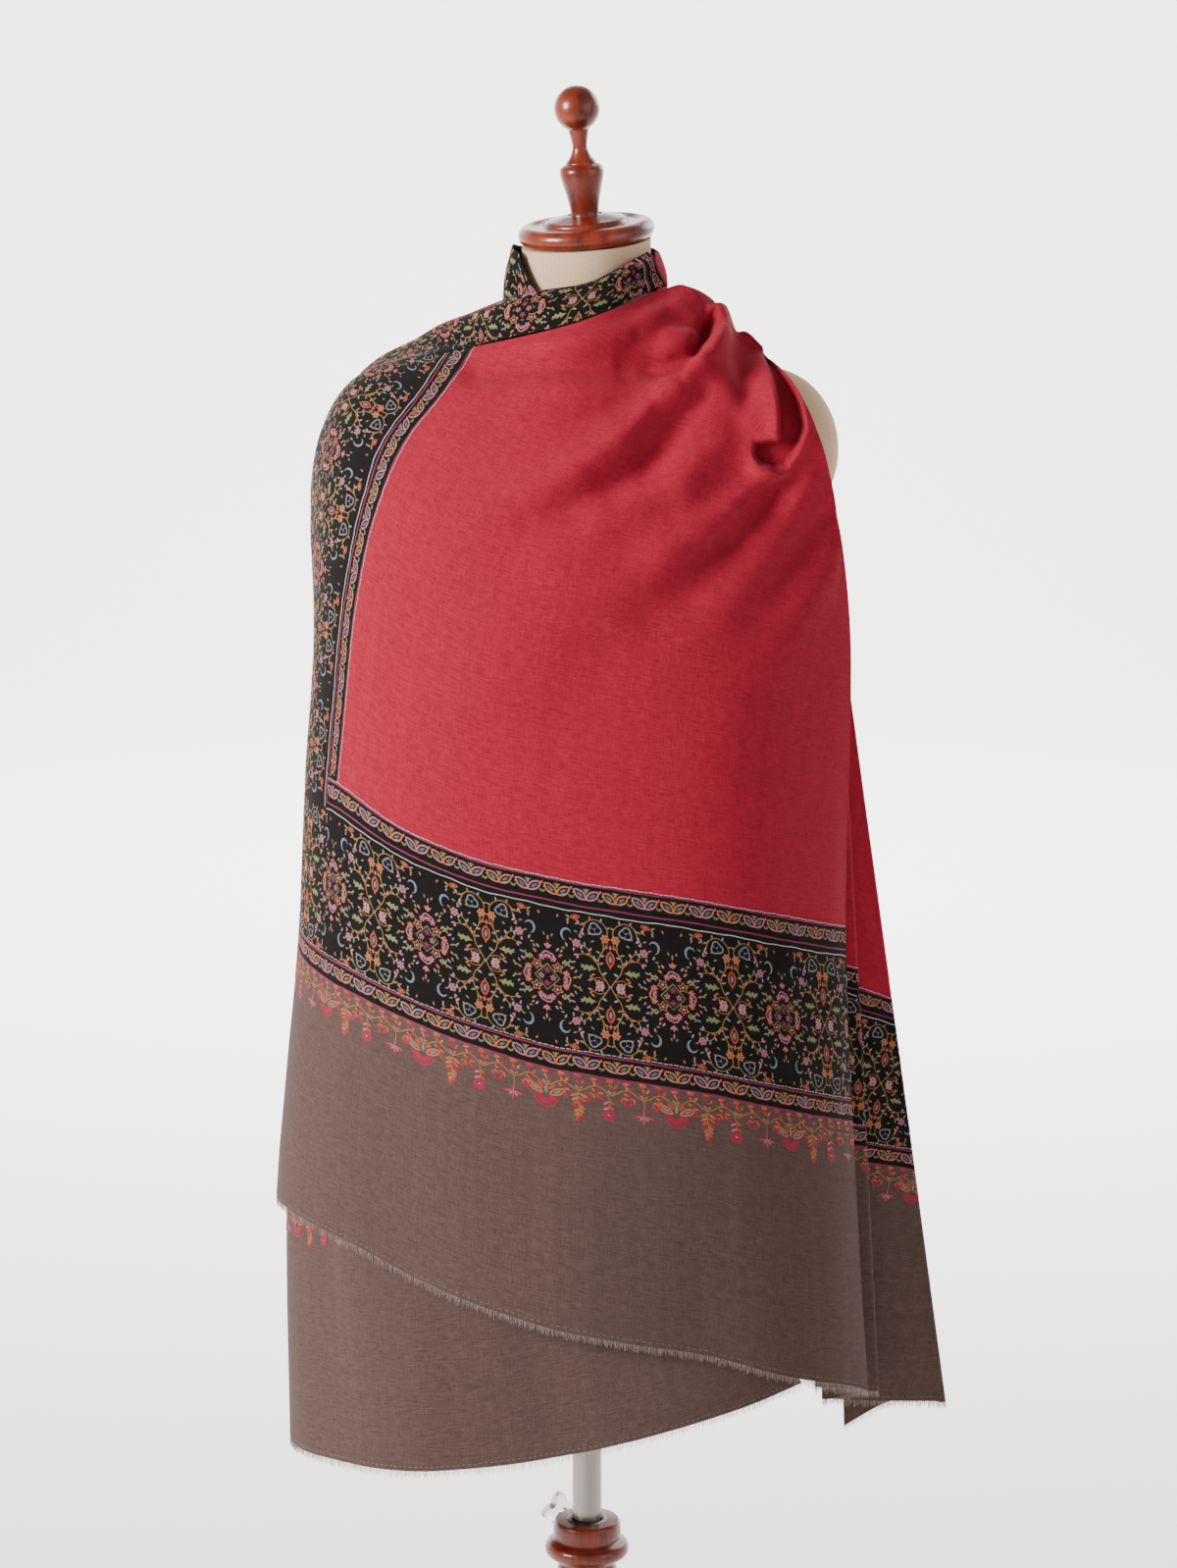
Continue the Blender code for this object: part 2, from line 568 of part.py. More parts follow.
def add_ring(name, profile, sides, material):
    """A turned ring from a closed (radius, height) profile that runs outside from bottom to top."""
    points, faces = [], []
    count = len(profile)
    for k in range(sides):
        a = 2 * math.pi * k / sides
        points += [Vector((r * math.cos(a), r * math.sin(a), up)) for r, up in profile]
    for k in range(sides):
        q = (k + 1) % sides
        for i in range(count):
            n = (i + 1) % count
            faces.append((k * count + i, q * count + i, q * count + n, k * count + n))
    obj = add_object(name, points, faces, material)
    obj.data.shade_smooth()
    obj.data.set_sharp_from_angle(angle=math.radians(35))
    return obj


def build_knob(post, acrylic):
    """The clear lobed clamp knob with its screw, and the screw's hole through the socket's wall."""
    bore = POLE_RADIUS + BORE_CLEARANCE
    pivot = bpy.data.objects.new("knob_pivot", None)
    bpy.context.scene.collection.objects.link(pivot)
    outward = drape_point(math.sin(KNOB_BEARING), math.cos(KNOB_BEARING), 0.0)
    pivot.location = Vector((0, 0, KNOB_HEIGHT))
    pivot.rotation_euler = outward.to_track_quat("Z", "Y").to_euler()
    sides = KNOB_LOBES * 6
    rim = [KNOB_RADIUS * (0.80 + 0.20 * math.cos(KNOB_LOBES * 2 * math.pi * k / sides)) for k in range(sides)]
    stations = ((KNOB_AWAY - 0.0065, 0.55), (KNOB_AWAY - 0.0050, 0.92), (KNOB_AWAY - 0.0020, 1.0),
                (KNOB_AWAY + 0.0030, 1.0), (KNOB_AWAY + 0.0055, 0.90), (KNOB_AWAY + 0.0065, 0.65))
    screw = ((bore - 0.0003, 1.0), (0.0316, 1.0))
    rows, points = [], []

    def add_row(radii, up):
        rows.append(list(range(len(points), len(points) + sides)))
        for k, radius in enumerate(radii):
            a = 2 * math.pi * k / sides
            points.append(Vector((radius * math.cos(a), radius * math.sin(a), up)))

    for up, share in screw:
        add_row([SCREW_RADIUS * share] * sides, up)
    add_row([0.0046] * sides, 0.0320)
    add_row([0.0055] * sides, KNOB_AWAY - 0.0070)
    for up, share in stations:
        add_row([max(r * share, 0.0072) for r in rim], up)
    faces = [tuple(reversed(rows[0]))]
    for low, high in zip(rows, rows[1:]):
        for k in range(sides):
            q = (k + 1) % sides
            faces.append((low[k], low[q], high[q], high[k]))
    faces.append(tuple(rows[-1]))
    knob = add_object("clamp_knob", points, faces, acrylic, pivot)
    knob.data.shade_smooth()
    knob.data.set_sharp_from_angle(angle=math.radians(40))
    mesh = bpy.data.meshes.new("screw_hole")
    bm = bmesh.new()
    bmesh.ops.create_cone(bm, cap_ends=True, segments=16, radius1=SCREW_RADIUS + 0.0005,
                          radius2=SCREW_RADIUS + 0.0005, depth=0.030)
    bm.to_mesh(mesh)
    bm.free()
    cutter = bpy.data.objects.new("screw_hole", mesh)
    bpy.context.scene.collection.objects.link(cutter)
    turn = outward.to_track_quat("Z", "Y").to_matrix().to_4x4()
    cutter.matrix_world = Matrix.Translation((0, 0, KNOB_HEIGHT)) @ turn @ Matrix.Translation((0, 0, 0.023))
    hide_cutter(cutter)
    cut = post.modifiers.new("screw hole", "BOOLEAN")
    cut.operation = "DIFFERENCE"
    cut.solver = "EXACT"
    cut.object = cutter


def hide_cutter(obj):
    obj.hide_render = True
    obj.display_type = "WIRE"


def build_form(linen, wood):
    """The trunk with closed arm caps, a bore for the pole, and the turned cap and finial."""
    sides, rows = 28, []
    points, faces = [], []
    for section in FORM_SECTIONS:
        up = section["up"]
        rows.append(list(range(len(points), len(points) + sides)))
        lean = smooth((up - NECK_FOOT) / (NECK_TOP - NECK_FOOT)) * math.tan(CAP_TILT)
        for k in range(sides):
            a = 2 * math.pi * k / sides
            s, c = math.sin(a), math.cos(a)
            half = section["half"]
            deep = section["front"] if s < 0 else section["back"]
            r = ((abs(c) / half) ** FORM_SQUARE + (abs(s) / deep) ** FORM_SQUARE) ** (-1 / FORM_SQUARE)
            points.append(Vector((r * c, r * s, up + r * s * lean)))
    faces.append(tuple(reversed(rows[0])))
    for low, high in zip(rows, rows[1:]):
        for k in range(sides):
            q = (k + 1) % sides
            faces.append((low[k], low[q], high[q], high[k]))
    faces.append(tuple(rows[-1]))
    trunk = add_object("form_torso", points, faces, linen)
    trunk.data.shade_smooth()
    for sign, side in ((1, "left"), (-1, "right")):
        arm = round_body("arm_" + side, Vector((sign * ARM_CENTRE.x, ARM_CENTRE.y, ARM_CENTRE.z)), ARM_HALF)
        join = trunk.modifiers.new("arm " + side, "BOOLEAN")
        join.operation = "UNION"
        join.solver = "EXACT"
        join.object = arm
    mesh = bpy.data.meshes.new("pole_bore")
    bm = bmesh.new()
    depth = POLE_HEAD + 0.0005 - FORM_BOTTOM + 0.020
    bmesh.ops.create_cone(bm, cap_ends=True, segments=24, radius1=POLE_RADIUS + BORE_CLEARANCE,
                          radius2=POLE_RADIUS + BORE_CLEARANCE, depth=depth,
                          matrix=Matrix.Translation((0, 0, POLE_HEAD + 0.0005 - depth / 2)))
    bm.to_mesh(mesh)
    bm.free()
    cutter = bpy.data.objects.new("pole_bore", mesh)
    bpy.context.scene.collection.objects.link(cutter)
    hide_cutter(cutter)
    cut = trunk.modifiers.new("pole bore", "BOOLEAN")
    cut.operation = "DIFFERENCE"
    cut.solver = "EXACT"
    cut.object = cutter
    build_cap(wood)


def round_body(name, centre, half):
    mesh = bpy.data.meshes.new(name)
    bm = bmesh.new()
    bmesh.ops.create_uvsphere(bm, u_segments=16, v_segments=10, radius=1.0)
    bmesh.ops.scale(bm, vec=half, verts=bm.verts)
    bmesh.ops.translate(bm, vec=centre, verts=bm.verts)
    bm.to_mesh(mesh)
    bm.free()
    obj = bpy.data.objects.new(name, mesh)
    bpy.context.scene.collection.objects.link(obj)
    hide_cutter(obj)
    return obj


def build_cap(wood):
    seat = bpy.data.objects.new("cap_seat", None)
    bpy.context.scene.collection.objects.link(seat)
    seat.location = Vector((0, 0, NECK_TOP))
    seat.rotation_euler = (CAP_TILT, 0, 0)
    cap = [(0.0, 0.0004), (CAP_RADIUS - 0.0045, 0.0004)]
    cap += arc_profile(CAP_RADIUS - 0.0060, 0.0066, 0.0060, -70, 80, 6)
    cap += [(CAP_RADIUS - 0.009, 0.0128), (CAP_RADIUS - 0.011, 0.0112), (CAP_RADIUS - 0.020, 0.0112),
            (CAP_RADIUS - 0.0225, 0.0150), (CAP_RADIUS - 0.030, 0.0175), (0.0190, 0.0190), (0.0, 0.0190)]
    add_lathe("neck_cap", cap, 24, wood).parent = seat
    foot = 0.0193
    finial = [(0.0, foot), (0.0150, foot), (0.0152, foot + 0.003), (0.0112, foot + 0.0070),
              (0.0122, foot + 0.0160), (0.0160, foot + 0.0275), (0.0172, foot + 0.0345),
              (0.0152, foot + 0.0405), (0.0098, foot + 0.0432), (0.0107, foot + 0.0455),
              (0.0086, foot + 0.0500), (0.0075, foot + 0.0590), (0.0090, foot + 0.0720)]
    finial += arc_profile(0.0, foot + 0.0888, 0.0180, -58, 90, 7)
    add_lathe("neck_finial", finial, 16, wood).parent = seat


def band_grid(front):
    """The rolled border across the throat, from the neck's right to the left shoulder."""
    columns, rows = 20, 5
    edge_count = len(front) - 1
    grid = []
    for i in range(columns + 1):
        col = column_values(BAND_COLUMNS, 1.0 - i / columns)
        upper = drape_point(col["across"], col["toward"], col["up"])
        place = col["lower_u"] * edge_count
        k = min(int(place), edge_count - 1)
        lower = front[k][0].lerp(front[k + 1][0], place - k)
        lower = lower + (upper - lower).normalized() * BAND_EDGE_GAP
        centre = Vector((0, 0, upper.z - 0.10))
        rise = ((upper + lower) / 2 - centre).normalized()
        line = []
        for j in range(rows + 1):
            s = j / rows
            p = upper.lerp(lower, s) + rise * col["high"] * math.sin(math.pi * s)
            least = lerp(0.0050, BAND_CLEAR, smooth(s * 3)) if col["across"] > -0.06 else BAND_CLEAR
            line.append(settle(p, least))
        grid.append(line)
    return grid


def collar_grid(back, under):
    """The standing border round the neck, on the upper edges of the back and of the lower layer."""
    columns, rows = 22, 4
    seats = []
    for line in back + under[1:]:
        across = line[0].x * math.cos(DRAPE_TURN) + line[0].y * math.sin(DRAPE_TURN)
        toward = line[0].x * math.sin(DRAPE_TURN) - line[0].y * math.cos(DRAPE_TURN)
        angle = math.degrees(math.atan2(across, toward)) % 360.0
        if across ** 2 + toward ** 2 < COLLAR_REACH ** 2:
            seats.append(dict(angle=angle, across=across, toward=toward, up=line[0].z))
    seats.sort(key=lambda seat: seat["angle"])
    grid = []
    for i in range(columns + 1):
        angle = lerp(COLLAR_TOP[0]["angle"], COLLAR_TOP[-1]["angle"], i / columns)
        radius = table_value(COLLAR_TOP, "angle", "radius", angle)
        s, c = math.sin(math.radians(angle)), math.cos(math.radians(angle))
        top = drape_point(radius * s, radius * c, table_value(COLLAR_TOP, "angle", "up", angle))
        low = drape_point(*(table_value(seats, "angle", name, angle) for name in ("across", "toward", "up")))
        low = Vector((low.x * COLLAR_TUCK, low.y * COLLAR_TUCK, low.z + COLLAR_LIFT))
        grid.append([top.lerp(low, j / rows) for j in range(rows + 1)])
    return grid


def fall_path(spread):
    """Points of the folded layers in a level section, from the top layer's right fold to the free edge."""
    def place(row):
        across = lerp(row["top_across"], row["across"], spread)
        toward = lerp(row["top_toward"], row["toward"], spread)
        return across, toward

    radius = lerp(TOP_TURN_RADIUS, TURN_RADIUS, min(spread * 2.0, 1.0))
    points = [place(FALL_START)]
    for row in FALL_TURNS:
        across, toward = place(row)
        last = points[-1]
        points.append((lerp(last[0], across, 0.5), lerp(last[1], toward + radius, 0.5)))
        for k in range(5):
            a = math.radians(90 - 45 * k)
            points.append((across + row["side"] * radius * math.cos(a), toward + radius * math.sin(a)))
    end = place(FALL_END)
    last = points[-1]
    points.append((lerp(last[0], end[0], 0.33), lerp(last[1], end[1], 0.33)))
    points.append((lerp(last[0], end[0], 0.66), lerp(last[1], end[1], 0.66)))
    points.append(end)
    return points


def fall_hem(i, count):
    """Height of the folded layers' hem by column."""
    rows = [FALL_START] + list(FALL_TURNS) + [FALL_END]
    at = i / count * (len(rows) - 1)
    k = min(int(at), len(rows) - 2)
    return lerp(rows[k]["up"], rows[k + 1]["up"], at - k)


def seat_behind(edge, inward, up):
    """The place at a height just behind the wall of a layer whose last column and way in are given."""
    k = next((j for j in range(len(edge) - 1) if edge[j + 1].z <= up), len(edge) - 2)
    share = min(max((edge[k].z - up) / (edge[k].z - edge[k + 1].z), 0.0), 1.0)
    way = inward[k].lerp(inward[k + 1], share).normalized()
    return edge[k].lerp(edge[k + 1], share) + way * (SEAT_WALLS * WALL + SEAM_GAP)


def fall_grid(front):
    rows = 12
    inward = [-n for n in grid_normals(front)[-1]]
    count = len(fall_path(0.0)) - 1
    grid = [[] for _ in range(count + 1)]
    for j in range(rows + 1):
        t = j / rows
        for i in range(count + 1):
            up = lerp(FALL_TOP, fall_hem(i, count), t)
            spread = max(FALL_SPREAD_TOP - up, 0.0) / (FALL_SPREAD_TOP - FALL_SPREAD_LOW)
            across, toward = fall_path(spread)[i]
            narrow = lerp(0.45, 1.0, smooth((FALL_TOP - up) / 0.08))
            first = lerp(FALL_START["top_toward"], FALL_START["toward"], spread)
            toward = first + (toward - first) * narrow
            toward += table_value(RIGHT_FOLD, "up", "toward", up) - RIGHT_FOLD[-1]["toward"]
            across += (table_value(RIGHT_FOLD, "up", "across", max(up, FALL_STRAIGHT))
                       - table_value(RIGHT_FOLD, "up", "across", FALL_STRAIGHT))
            seat = seat_behind(front[-1], inward, up)
            p = drape_point(across, toward, up)
            grid[i].append(Vector((seat.x, seat.y, up)) if i == 0 else p)
    return grid


def fringe_stops(edge, pitch):
    """Places along a hem, as cell and share, where the strip is cut; a lock stands after every True."""
    stops = []
    for cell, (a, b) in enumerate(zip(edge, edge[1:])):
        length = (b - a).length
        if length < SHORT_CELL:
            stops.append((cell, 0.0, False))
            continue
        count = max(1, round(length / pitch))
        stops.append((cell, 0.0, False))
        for k in range(count):
            middle = (k + 0.5) / count
            half = 0.5 * LOCK_WIDTH / length
            stops.append((cell, middle - half, True))
            stops.append((cell, middle + half, False))
    stops.append((len(edge) - 2, 1.0, False))
    return stops


def fringe_mesh(edge, out, pitch):
    """A narrow strip just below a hem with locks standing on its lower side, each a slim pyramid."""
    points, faces, rows = [], [], []
    down = Vector((0, 0, -1))
    stops = fringe_stops(edge, pitch)
    for cell, share, _ in stops:
        p = edge[cell].lerp(edge[cell + 1], share)
        n = out[cell].lerp(out[cell + 1], share).normalized()
        top = p + down * HEM_GAP
        inner = n * -(WALL * 0.9)
        low = down * FRINGE_STRIP
        rows.append(len(points))
        points += [top, top + low, top + low + inner, top + inner]
    faces.append((rows[0], rows[0] + 3, rows[0] + 2, rows[0] + 1))
    for n, (a, b) in enumerate(zip(rows, rows[1:])):
        for s in (0, 2, 3):
            q = (s + 1) % 4
            faces.append((a + s, a + q, b + q))
            faces.append((a + s, b + q, b + s))
        if not stops[n][2]:
            faces.append((a + 1, a + 2, b + 2))
            faces.append((a + 1, b + 2, b + 1))
            continue
        middle = (points[a + 1] + points[a + 2] + points[b + 1] + points[b + 2]) / 4
        sway = (points[b] - points[a]) * (0.5 * math.sin(1.7 * n))
        tip = len(points)
        points.append(middle + down * FRINGE_DROP * (0.9 + 0.1 * math.sin(2.3 * n)) + sway)
        ring = (a + 1, a + 2, b + 2, b + 1)
        for s in range(4):
            faces.append((ring[s], ring[(s + 1) % 4], tip))
    last = rows[-1]
    faces.append((last, last + 1, last + 2, last + 3))
    return points, faces


def add_fringe(name, grid, pitch, material):
    out = [line[-1] for line in grid_normals(grid)]
    points, faces = fringe_mesh([line[-1] for line in grid], out, pitch)
    return add_object(name, points, faces, material)


def build_cloth(red, black, taupe):
    front = draped_grid(FRONT_COLUMNS, FRONT_FOLDS, 32, 9, 14, 0.009, 0.0125, 0.0)
    pull_to_right_fold(front)
    under = draped_grid(UNDER_COLUMNS, UNDER_FOLDS, 15, 8, 13, 0.0, 0.004, 0.006)
    back = draped_grid(BACK_COLUMNS, BACK_FOLDS, 24, 9, 12, 0.0, 0.0085, 0.0100)
    for line in back:
        line[0] = line[0] + drape_point(0, -SEAM_GAP, 0)
    add_cloth("shawl_front", front, red, flat_top=True)
    add_cloth("shawl_under", under, taupe, flat_top=True)
    add_cloth("shawl_back", back, red, flat_top=True)
    add_cloth("shawl_neck_band", band_grid(front), black)
    add_cloth("shawl_collar", collar_grid(back, under), black)
    fall = fall_grid(front)
    add_cloth("shawl_fall", fall, red)
    add_fringe("fringe_front", front, FRINGE_PITCH, taupe)
    add_fringe("fringe_under", under, FRINGE_PITCH, taupe)
    add_fringe("fringe_back", back, FRINGE_PITCH, taupe)
    add_fringe("fringe_fall", fall, FRINGE_PITCH, taupe)


def main():
    for obj in list(bpy.data.objects):
        bpy.data.objects.remove(obj, do_unlink=True)
    wood = make_material("mahogany", (0.30, 0.045, 0.018), 0.28)
    steel = make_material("satin_steel", (0.62, 0.61, 0.59), 0.32, 1.0)
    dark_steel = make_material("dark_steel", (0.16, 0.16, 0.16), 0.45, 1.0)
    acrylic = make_material("clear_acrylic", (0.90, 0.91, 0.90), 0.08, 0.0, 0.9)
    linen = make_material("linen", (0.62, 0.53, 0.43), 0.85)
    red = make_material("red_pashmina", (0.46, 0.040, 0.062), 0.80)
    black = make_material("black_pashmina", (0.011, 0.009, 0.008), 0.82)
    taupe = make_material("taupe_pashmina", (0.180, 0.127, 0.108), 0.82)
    build_stand(wood, steel, dark_steel, acrylic)
    build_form(linen, wood)
    build_cloth(red, black, taupe)


main()
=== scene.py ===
import math

import bpy
import numpy as np
from mathutils import Matrix, Vector


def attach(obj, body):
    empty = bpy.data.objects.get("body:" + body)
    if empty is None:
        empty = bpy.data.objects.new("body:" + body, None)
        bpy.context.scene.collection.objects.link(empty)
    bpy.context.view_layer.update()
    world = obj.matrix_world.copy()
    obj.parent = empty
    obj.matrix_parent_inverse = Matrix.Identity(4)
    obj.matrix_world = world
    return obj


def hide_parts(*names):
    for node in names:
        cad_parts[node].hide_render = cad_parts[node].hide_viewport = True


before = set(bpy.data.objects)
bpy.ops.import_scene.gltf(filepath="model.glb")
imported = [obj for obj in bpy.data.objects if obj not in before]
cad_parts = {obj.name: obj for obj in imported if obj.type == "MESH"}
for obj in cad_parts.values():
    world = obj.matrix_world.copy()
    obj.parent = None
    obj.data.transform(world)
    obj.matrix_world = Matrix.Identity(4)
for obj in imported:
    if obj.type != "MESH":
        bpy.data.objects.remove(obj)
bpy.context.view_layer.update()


def table(names, *rows):
    """Rows of a table as dicts, with the names of its columns."""
    return [dict(zip(names.split(), row)) for row in rows]


MM = 1000.0
COLUMN_KEYS = "u across toward up dome knee hem hem_up"
FOLD_KEYS = "angle_a up_a angle_b up_b high_a high_b wide_a wide_b"
GATHER_KEYS = "x up high near far"

# The drape's frame is turned from the form's: across runs to its right, toward out of its front
DRAPE_TURN = math.radians(27.0)
WALL = 0.0011
NECK_FOOT = 1.447
NECK_TOP = 1.511
FORM_BOTTOM = 0.720
CAP_TILT = math.radians(9.7)
ARM_CENTRE = (0.155, 0.015, 1.345)
ARM_HALF = (0.060, 0.050, 0.066)
KNEE = 1.300
ARM_BEARING = -117.0
ARM_SWELL = 0.034
ARM_SWELL_WIDE = 24.0
RING_SQUARE = 2.3
FORM_SQUARE = 2.15
FOLD_RADIUS = 0.19
SEAM_GAP = 0.0005
RIGHT_FOLD_PULL = 0.80

# Widths of the woven and embroidered zones, from the end hem and from the long selvage
TAUPE_END = 0.215
LOW_GUARD = 0.018
MAIN = 0.118
TOP_GUARD = 0.019
SIDE_MARGIN = 0.007
PALLA_LOW = TAUPE_END + LOW_GUARD
PALLA_HIGH = PALLA_LOW + MAIN
PALLA_TOP = PALLA_HIGH + TOP_GUARD
SIDE_MAIN = SIDE_MARGIN + MAIN
SIDE_FIELD = SIDE_MAIN + TOP_GUARD

# The embroidery: repeats and phases in millimetres, the rest in metres
PERIOD = 96.0
PAIR_PITCH = 22.7
SIDE_PHASE = PALLA_TOP * MM + 70.0
MAIN_MIDDLE = 0.0565
THREAD_RIM = 0.00012
THREAD_RISE = 0.00034
AT_ONCE = 20000
PLACE_ERROR = 2e-4
FRINGE_LENGTH = 0.0068
FRINGE_PITCH = 0.00062
FRINGE_RADIUS = 0.00018

# Colours of the grounds, and the dark and light of the linen and the wood
RED = (0.262, 0.0102, 0.0250)
BLACK = (0.0050, 0.0043, 0.0040)
TAUPE = (0.073, 0.0452, 0.0385)
LINEN = ((0.44, 0.290, 0.182), (0.68, 0.480, 0.322))
MAHOGANY = ((0.050, 0.0050, 0.0022), (0.235, 0.0270, 0.0065))

# The form's fittings and the stand
SEAM_RADIUS = 0.0005
FINIAL_FOOT = 0.0193
POLE_RADIUS, POLE_FOOT, POLE_HEAD = 0.0127, 0.240, 0.790
BORE = POLE_RADIUS + 0.0008
SOCKET_TOP = 0.416
LINER_OUTER, LINER_FOOT = 0.0178, 0.4120
KNOB_HEIGHT, KNOB_AWAY, KNOB_RADIUS = 0.406, 0.050, 0.0175
KNOB_BEARING = math.radians(-151.0)

# The camera, from the form's middle, with its focal length and shift in the photo's pixels, and
# the studio's floor
CAMERA_AWAY, CAMERA_UP = 2.86, 1.52
CAMERA_PITCH = math.radians(9.11)
SENSOR = 36.0
FOCAL_PIXELS = 3520.0
PHOTO_HIGH = 1598.0
SHIFT_PIXELS = 1.5
FLOOR_UP = -0.0002

# Level sections of the form, and of the cloth hanging round it
FORM_SECTIONS = table(
    "up half front back",
    (0.720, 0.146, 0.094, 0.108), (0.780, 0.160, 0.100, 0.120), (0.860, 0.168, 0.104, 0.126),
    (0.960, 0.148, 0.098, 0.106), (1.060, 0.118, 0.092, 0.082), (1.140, 0.132, 0.104, 0.084),
    (1.220, 0.150, 0.128, 0.092), (1.290, 0.158, 0.118, 0.100), (1.350, 0.168, 0.092, 0.100),
    (1.392, 0.164, 0.070, 0.086), (1.415, 0.138, 0.060, 0.070), (1.432, 0.100, 0.054, 0.062),
    (1.447, 0.064, 0.052, 0.056), (1.467, 0.0535, 0.052, 0.050), (NECK_TOP, 0.0520, 0.0545, 0.0485),
)
HANG_RINGS = table(
    "up left right front back",
    (1.330, 0.2035, 0.196, 0.128, 0.140), (1.230, 0.2145, 0.208, 0.150, 0.146),
    (1.150, 0.2200, 0.212, 0.154, 0.150), (1.080, 0.2260, 0.212, 0.155, 0.154),
    (0.935, 0.2340, 0.212, 0.160, 0.160), (0.807, 0.2470, 0.220, 0.168, 0.168),
    (0.700, 0.2560, 0.228, 0.174, 0.176), (0.480, 0.2560, 0.243, 0.176, 0.186),
)

# Each layer's columns: the top edge's place, how round it goes over, and where it hangs
FRONT_COLUMNS = table(
    COLUMN_KEYS,
    (0.00, -0.199, -0.050, 1.384, 0.9, -98, -99, 0.710), (0.06, -0.192, -0.026, 1.397, 0.9, -88, -88, 0.712),
    (0.16, -0.1765, -0.004, 1.408, 0.8, -73, -73, 0.715), (0.28, -0.1375, 0.024, 1.418, 0.6, -56, -56, 0.705),
    (0.40, -0.092, 0.054, 1.427, 0.45, -38, -38, 0.678), (0.54, -0.0195, 0.086, 1.444, 0.35, -13, -13, 0.651),
    (0.65, 0.019, 0.080, 1.457, 0.3, 8, 9, 0.635), (0.76, 0.0655, 0.042, 1.4735, 0.35, 29, 31, 0.618),
    (0.86, 0.093, 0.046, 1.466, 0.4, 45, 49, 0.592), (0.94, 0.120, 0.048, 1.443, 0.45, 56, 62, 0.572),
    (1.00, 0.142, 0.052, 1.421, 0.5, 64, 73, 0.552),
)
UNDER_COLUMNS = table(
    COLUMN_KEYS,
    (0.00, -0.0725, -0.012, 1.453, 1.0, -98, -98, 0.494), (0.30, -0.0715, 0.018, 1.454, 0.7, -76, -66, 0.508),
    (0.65, -0.0600, 0.044, 1.456, 0.4, -50, -10, 0.533), (1.00, -0.0450, 0.060, 1.458, 0.3, -26, 54, 0.582),
)
BACK_COLUMNS = table(
    COLUMN_KEYS,
    (0.00, 0.142, 0.052, 1.421, 0.5, 122, 168, 0.486), (0.10, 0.120, 0.048, 1.443, 0.5, 131, 176, 0.484),
    (0.20, 0.093, 0.046, 1.466, 0.5, 142, 184, 0.482), (0.28, 0.0655, 0.042, 1.4735, 0.5, 150, 190, 0.481),
    (0.38, 0.0720, 0.004, 1.463, 0.45, 162, 199, 0.480), (0.52, 0.047, -0.056, 1.459, 0.45, 178, 210, 0.480),
    (0.70, -0.012, -0.0725, 1.456, 0.8, 207, 227, 0.484), (0.86, -0.054, -0.049, 1.454, 1.0, 240, 245, 0.489),
    (1.00, -0.0725, -0.013, 1.453, 1.0, 261.6, 261.6, 0.494),
)
BAND_COLUMNS = table(
    "u across toward up lower_u high",
    (0.00, 0.0490, 0.0330, 1.5030, 0.76, 0.002), (0.16, 0.0250, 0.0540, 1.4900, 0.67, 0.003),
    (0.30, -0.0020, 0.0620, 1.4780, 0.56, 0.005), (0.46, -0.0500, 0.0565, 1.4700, 0.46, 0.008),
    (0.60, -0.0850, -0.0060, 1.4560, 0.38, 0.010), (0.78, -0.1290, -0.0700, 1.4330, 0.26, 0.012),
    (0.92, -0.1680, -0.0920, 1.4130, 0.13, 0.010), (1.00, -0.1940, -0.0900, 1.3920, 0.03, 0.006),
)
COLLAR_TOP = table(
    "angle radius up",
    (68.0, 0.0595, 1.503), (87.0, 0.0595, 1.504), (140.0, 0.0600, 1.506), (189.0, 0.0600, 1.508),
    (260.0, 0.0605, 1.507), (312.0, 0.0600, 1.500),
)
COLLAR_END = 323.0
COLLAR_REACH = 0.085
COLLAR_SLANT = 0.25

# Where the front's columns and the lower layer's fabric start, and how strong the gathers are
FRONT_SPREAD = (226, 0.83, 1.0, 2.3)
UNDER_START = 0.83
FOLD_GAIN = 1.60

# The pleats at the drape's right
FALL_TURNS = table(
    "side top_across top_toward across toward up",
    (-1, 0.200, 0.050, 0.198, 0.044, 0.551), (1, 0.207, 0.044, 0.2474, 0.033, 0.542),
    (-1, 0.202, 0.038, 0.2060, 0.020, 0.530), (1, 0.211, 0.031, 0.3090, -0.022, 0.512),
)
FALL_START = dict(top_across=0.204, top_toward=0.054, across=0.2320, toward=0.050, up=0.552)
FALL_END = dict(top_across=0.196, top_toward=0.022, across=0.2245, toward=-0.042, up=0.484)
FALL_START_U = 0.80
FALL_TOP = 1.285
FALL_SPREAD_TOP = 1.170
FALL_SPREAD_LOW = 0.512
FALL_STRAIGHT = 1.149
SEAT_WALLS = 1.75
TURN_RADIUS = 0.0036
TOP_TURN_RADIUS = 0.0020

RIGHT_FOLD = table(
    "up across toward",
    (1.421, 0.1420, 0.052), (1.397, 0.1610, 0.098), (1.363, 0.1820, 0.116), (1.344, 0.1885, 0.112),
    (1.310, 0.1980, 0.099), (1.226, 0.2116, 0.078), (1.149, 0.2156, 0.066), (0.954, 0.2140, 0.060),
    (0.784, 0.2222, 0.060), (0.650, 0.2304, 0.060), (0.540, 0.2390, 0.060),
)

